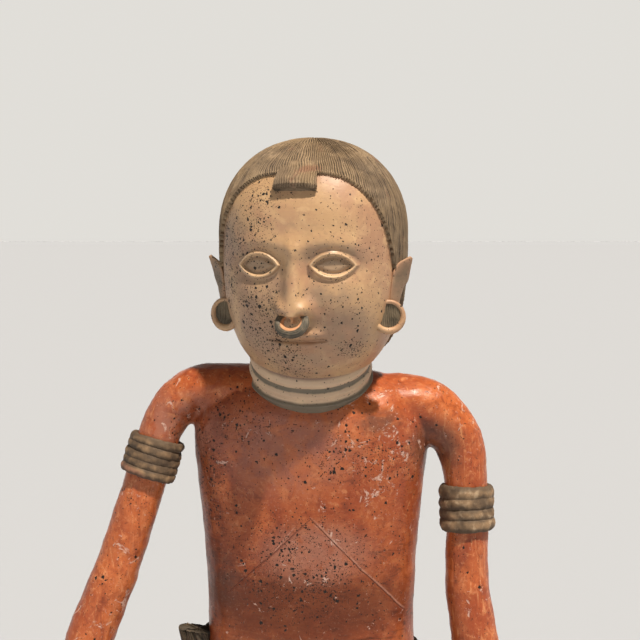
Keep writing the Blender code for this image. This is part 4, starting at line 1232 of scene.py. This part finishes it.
for name, side in (("ear_right", -1), ("ear_left", 1)):
    lobe = ear_foot(side)
    top = skull_point(side * EAR_ANGLE, (EAR_HEIGHT + EAR_LENGTH * 0.36) / HEAD_HEIGHT)
    out = Vector((side, 0, 0))
    points = [
        lobe + out * 0.001 + Vector((0, 0, -0.004)),
        lobe + out * 0.003 + Vector((0, 0.001, 0.010)),
        (lobe + top) / 2 + out * 0.004 + Vector((0, 0.003, 0.004)),
        top + out * 0.006 + Vector((0, 0.004, -0.002)),
        top + out * 0.013 + Vector((0, 0.005, 0.007)),
    ]
    half = EAR_THICKNESS / 2
    radii = [(0.0060, half), (0.0075, half), (0.0095, half), (0.0082, half * 0.9), (0.0016, half * 0.5)]
    up = Vector((0.80, -side * 0.60, 0))
    forward = Vector((side * up.x, -abs(up.y), 0))
    rings, hollows = tube_rings(points, radii, 56, 22, up), []
    for row, ring in enumerate(rings):
        middle = sum(ring, Vector()) / len(ring)
        wide = max((point - middle).length for point in ring)
        along_ear = math.sin(math.pi * min(1.0, row / len(rings) + 0.05)) ** 0.5
        inside = []
        for point in ring:
            share = (point - middle).length / wide
            front = (point - middle).dot(forward) / half
            inside.append(smoothstep(-0.1, 0.4, front) * (1 - share**6) * along_ear)
            point += forward * 0.0016 * share**2 * math.sin(math.pi * row / len(rings))
        hollows.append(inside)
    ear = column_mesh(name, [[chin @ point for point in ring] for ring in rings], {"hollow": hollows})
    finish_piece(ear, worked_clay, depth=0.0008, grain=120.0, seed=11.0 + side, material=ear_slip)


# The ear ornaments. Each is a roll of clay bent to a ring, thicker below, that hangs from the lobe, with a
# sunken disc inside it that was scored upright and left dark.

ORNAMENT_DROP = 0.0155
ORNAMENT_RADIUS = 0.0146
ORNAMENT_COIL_RADIUS = 0.0028
ORNAMENT_TURN = math.radians(18)
DISC_OVERLAP = 0.0004

disc_clay, place, shader = new_material("scored_dark_clay")
furrow = place.own("furrow")
cloud = place.noise(90, 4, 0.6)
grain = place.noise(800, 3, 0.7)
colour = cloud.ramp(0.40, 0.62).between((0.19, 0.145, 0.090), (0.10, 0.078, 0.050))
# Painted shade in the scoring.
colour = colour.mix((0.035, 0.026, 0.018), furrow * 0.75)
finish_material(place, shader, colour, 0.72, grain * 0.5 - furrow * 0.5, 0.0004)

for name, side in (("right", -1), ("left", 1)):
    middle = ear_foot(side) + Vector((-side * 0.002, -0.008, -ORNAMENT_DROP))
    turned = side * ORNAMENT_TURN
    across = Vector((math.cos(turned), math.sin(turned), 0))
    facing = Vector((math.sin(turned), -math.cos(turned), 0))
    up = Vector((0, 0, 1))
    reach = ORNAMENT_RADIUS - ORNAMENT_COIL_RADIUS
    angles = full_turn(200)
    spokes = [across * math.cos(angle) + up * math.sin(angle) for angle in angles]
    loops = []
    for angle, spoke in zip(angles, spokes):
        thick = ORNAMENT_COIL_RADIUS * (0.90 - 0.22 * math.sin(angle))
        core = middle + spoke * (ORNAMENT_RADIUS - thick)
        turns = full_turn(30)
        loops.append([chin @ (core + (spoke * math.cos(t) + facing * math.sin(t)) * thick) for t in turns])
    coil = loop_mesh("ear_coil_" + name, loops)
    finish_piece(coil, worked_clay, depth=0.0008, grain=150.0, seed=14.0 + side, material=head_slip)
    rings, turns = [], []
    rim = reach + DISC_OVERLAP
    stations = [(rim, -0.0020), (rim, 0.0006)] + [(rim * (1 - k / 36), 0.0008) for k in range(36)]
    for radius, depth in stations:
        rings.append([chin @ (middle + spoke * radius + facing * depth) for spoke in spokes])
        turns.append([0.5 + 0.5 * math.cos(angle) * radius / reach for angle in angles])
    scoring = {"strands": 15.0, "depth": 0.0010, "waver": 1.5, "seed": 15.0 + side}
    combed_piece("ear_disc_" + name, rings, turns, disc_clay, **scoring)


# The nose ring. A crescent of clay, thick below, whose ends go up into the nostrils. Fine lines are drawn
# along its front. Its orange slip shows only on its upper face, where light falls; the front and underside
# are coloured dark as painted shade.

NOSE_RING_RADIUS = 0.0105
NOSE_RING_THICKNESS = 0.0044
NOSE_RING_TILT = math.radians(38)

surface = skull_point(0, NOSE_HEIGHT / HEAD_HEIGHT).y
middle = Vector((0, surface - 9.5 * FACE_MM, NOSE_HEIGHT - 5.0 * FACE_MM))
lean, rise = math.sin(NOSE_RING_TILT), math.cos(NOSE_RING_TILT)
points, radii = [], []
for k in range(9):
    share = k / 4 - 1
    angle = math.radians(-90 + 148 * share)
    spoke = Vector((math.cos(angle), lean * math.sin(angle), rise * math.sin(angle)))
    points.append(middle + spoke * NOSE_RING_RADIUS)
    radii.append(NOSE_RING_THICKNESS * (1 - 0.35 * share * share))
rings = [[chin @ point for point in ring] for ring in tube_rings(points, radii, 72, 18, Vector((0, -1, 0)))]
turns = [[j / 72 for j in range(72)]] * len(rings)

ring_clay, place, shader = new_material("lined_ring_clay")
furrow = place.own("furrow")
face = place.own("around")
cloud = place.noise(140, 4, 0.6)
grain = place.noise(900, 3, 0.7)
face = face + (cloud - 0.5) * 0.06
# Painted light and shade: the ring is dark on its front and underside, and only its upper face shows the
# orange slip.
lit_upper_face = face.ramp(0.33, 0.38) * face.ramp(0.72, 0.67)
colour = cloud.ramp(0.45, 0.65).between((0.085, 0.072, 0.050), (0.17, 0.13, 0.085))
# Painted shade in the drawn lines.
colour = colour.mix((0.022, 0.017, 0.012), furrow * 0.75)
colour = colour.mix((0.62, 0.30, 0.145), lit_upper_face * 0.92)
finish_material(place, shader, colour, 0.55, grain * 0.4 - furrow * 0.6, 0.0003)
combed_piece("nose_ring", rings, turns, ring_clay, strands=16.0, depth=0.0005, waver=0.3, seed=17.0)


# The hair. A cap of clay laid over the skull and combed from the crown to its edge with a toothed tool,
# arched high over the face. A short thick tuft lies over the middle of the forehead and stands clear of it
# at its blunt end.

HAIR_THICKNESS = 0.0036
HAIR_SUNK = 0.0045
HAIRLINE_EAR = math.radians(70)
HAIRLINE_TOP = HEAD_HEIGHT * 0.853
HAIRLINE_DROP = HEAD_HEIGHT * 0.370
NAPE_HEIGHT = HEAD_HEIGHT * 0.14
TUFT_WIDTH = 0.034
TUFT_THICKNESS = 0.0090
TUFT_SUNK = 0.004


def hairline(angle):
    """Height of the cap's edge: a high arch over the face, then down behind the ears to the nape."""
    around = abs(math.atan2(math.sin(angle), math.cos(angle)))
    beside = HAIRLINE_TOP - HAIRLINE_DROP * min(1.0, around / HAIRLINE_EAR) ** 3.55
    low = smoothstep(HAIRLINE_EAR, math.pi * 0.66, around)
    return (beside + (NAPE_HEIGHT - beside) * low) / HEAD_HEIGHT


def polar_heights(edge, rows):
    """Heights from just under the crown down to the edge, close together where the dome is flat."""
    top = 0.9995
    span = math.sqrt(1 - edge) - math.sqrt(1 - top)
    return [1 - (math.sqrt(1 - top) + span * k / rows) ** 2 for k in range(rows + 1)]


count, rows = 1040, 84
angles = full_turn(count)
columns = [polar_heights(hairline(angle), rows) for angle in angles]
layers = [(row, HAIR_THICKNESS, row / rows) for row in range(rows + 1)]
layers += [(row, -HAIR_SUNK, 1.3) for row in (rows, rows * 2 // 3, rows // 3, 0)]
rings, edges = [], []
for row, proud, edge in layers:
    points = [swollen(skull_point(angle, heights[row]), proud) for angle, heights in zip(angles, columns)]
    rings.append([chin @ point for point in points])
    edges.append([edge] * count)
turns = [[k / count for k in range(count)]] * len(rings)

hair_clay, place, shader = new_material("combed_grey_clay")
furrow = place.own("furrow")
cloud = place.noise(24, 4, 0.6, 0.6)
mottle = place.noise(110, 4, 0.6)
grain = place.noise(800, 3, 0.7)
strand, along = place.own("strand"), place.own("along")
colour = cloud.ramp(0.40, 0.62).between((0.26, 0.178, 0.100), (0.165, 0.112, 0.066))
colour = colour.mix((0.38, 0.27, 0.165), mottle.ramp(0.50, 0.68) * 0.60)
colour = colour.mix((0.15, 0.100, 0.062), strand.ramp(0.55, 1.0) * 0.55)
shaded = place.parts()[0].ramp(0.040, 0.078)
colour = colour.mix((0.125, 0.086, 0.052), shaded * 0.50)
rust = place.noise(45, 4, 0.6) + place.near((0, -0.07, 0.667), (0.034, 0.06, 0.016)) * 0.14
colour = colour.mix((0.22, 0.085, 0.048), rust.ramp(0.62, 0.76) * 0.55)
# Painted shade in the combed grooves, weaker near the edge of the cap.
deep = furrow.ramp(0.05, 0.75) * (0.92 - along.ramp(0.955, 1.0) * 0.62)
colour = colour.mix((0.042, 0.028, 0.019), deep)
spots = place.specks(420, cloud.ramp(0.45, 0.8) * 0.10, 0.26)
colour = colour.mix((0.015, 0.011, 0.009), spots * 0.9)
finish_material(place, shader, colour, 0.62 + grain * 0.2, grain * 0.4 - furrow * 0.6, 0.0005)
combed_piece("hair", rings, turns, hair_clay, edges, strands=208.0, depth=0.0017, waver=4.0, seed=20.0)

rings, turns = [], []
rows, across = 60, 110
for row in range(rows + 1):
    share = row / rows
    height = 0.90 - 0.113 * share
    thick = 0.30 + 0.14 * smoothstep(0.0, 0.35, share) + 0.52 * smoothstep(0.30, 0.80, share)
    thick -= 0.30 * smoothstep(0.90, 1.0, share) ** 2
    spread = 0.94 + 0.08 * share
    ring, turn = [], []
    reach = TUFT_WIDTH / 2 * spread / skull_profile(height)[0]
    half_angle = math.asin(reach ** (SKULL_POWER / 2))
    for k in range(across + 1):
        part = 2 * k / across - 1
        rounded = 1 - 0.30 * abs(part) ** 5
        point = skull_point(part * half_angle, height - 0.004 * part * part)
        ring.append(chin @ swollen(point, TUFT_THICKNESS * thick * rounded))
        turn.append(0.5 + part / 2)
    for k in reversed(range(0, across + 1, 5)):
        part = 2 * k / across - 1
        ring.append(chin @ swollen(skull_point(part * half_angle, height), -TUFT_SUNK))
        turn.append(0.5 + part / 2)
    rings.append(ring)
    turns.append(turn)
combed_piece("tuft", rings, turns, hair_clay, strands=17.0, depth=0.0012, waver=1.5, seed=21.0)


# Floor, light and camera. A plain pale floor under a pale sky, brightest along the horizon, with one soft
# sun from above the front and a weak lamp beside it.

floor_mesh = bpy.data.meshes.new("floor")
floor_mesh.from_pydata([(-30, -30, 0), (30, -30, 0), (30, 30, 0), (-30, 30, 0)], [], [(0, 1, 2, 3)])
floor_paint, _, shader = new_material("floor_paint")
shader.inputs["Base Color"].default_value = (0.403, 0.434, 0.492, 1)
shader.inputs["Roughness"].default_value = 0.85
floor_mesh.materials.append(floor_paint)
placed("floor", floor_mesh)

world = bpy.data.worlds.new("sky")
bpy.context.scene.world = world
world.use_nodes = True
sky = world.node_tree.nodes["Background"]
sky.inputs["Color"].default_value = (0.73, 0.71, 0.67, 1)
rise = Wire(world.node_tree).node("ShaderNodeTexCoord", output="Generated").parts()[2]
rise.feed(sky.inputs["Strength"], 0.13 + abs(rise).ramp(0.40, 0.22) * 0.90)


def lamp(name, kind, place, target, power, size, colour):
    light = bpy.data.lights.new(name, kind)
    light.energy = power
    if kind == "SUN":
        light.angle = size
    else:
        light.size = size
    light.color = colour
    made = placed(name, light)
    made.location = place
    made.rotation_euler = (Vector(target) - Vector(place)).to_track_quat("-Z", "Y").to_euler()


lamp("key", "SUN", (0.50, -0.70, 2.45), (0, 0, 0.50), 5.7, math.radians(3), (1.0, 0.89, 0.74))
lamp("fill", "AREA", (-1.0, -1.5, 0.8), (0, 0, 0.50), 1.4, 0.8, (1.0, 0.96, 0.92))

camera = bpy.data.cameras.new("camera")
camera.lens = 66
camera.sensor_width = 36
eye = placed("camera", camera)
target = Vector((0.008, -0.03, 0.5475))
lift = math.radians(5)
eye.location = target + Vector((0, -math.cos(lift), math.sin(lift)))
eye.rotation_euler = (target - eye.location).to_track_quat("-Z", "Y").to_euler()
bpy.context.scene.camera = eye
bpy.context.scene.view_settings.view_transform = "Standard"
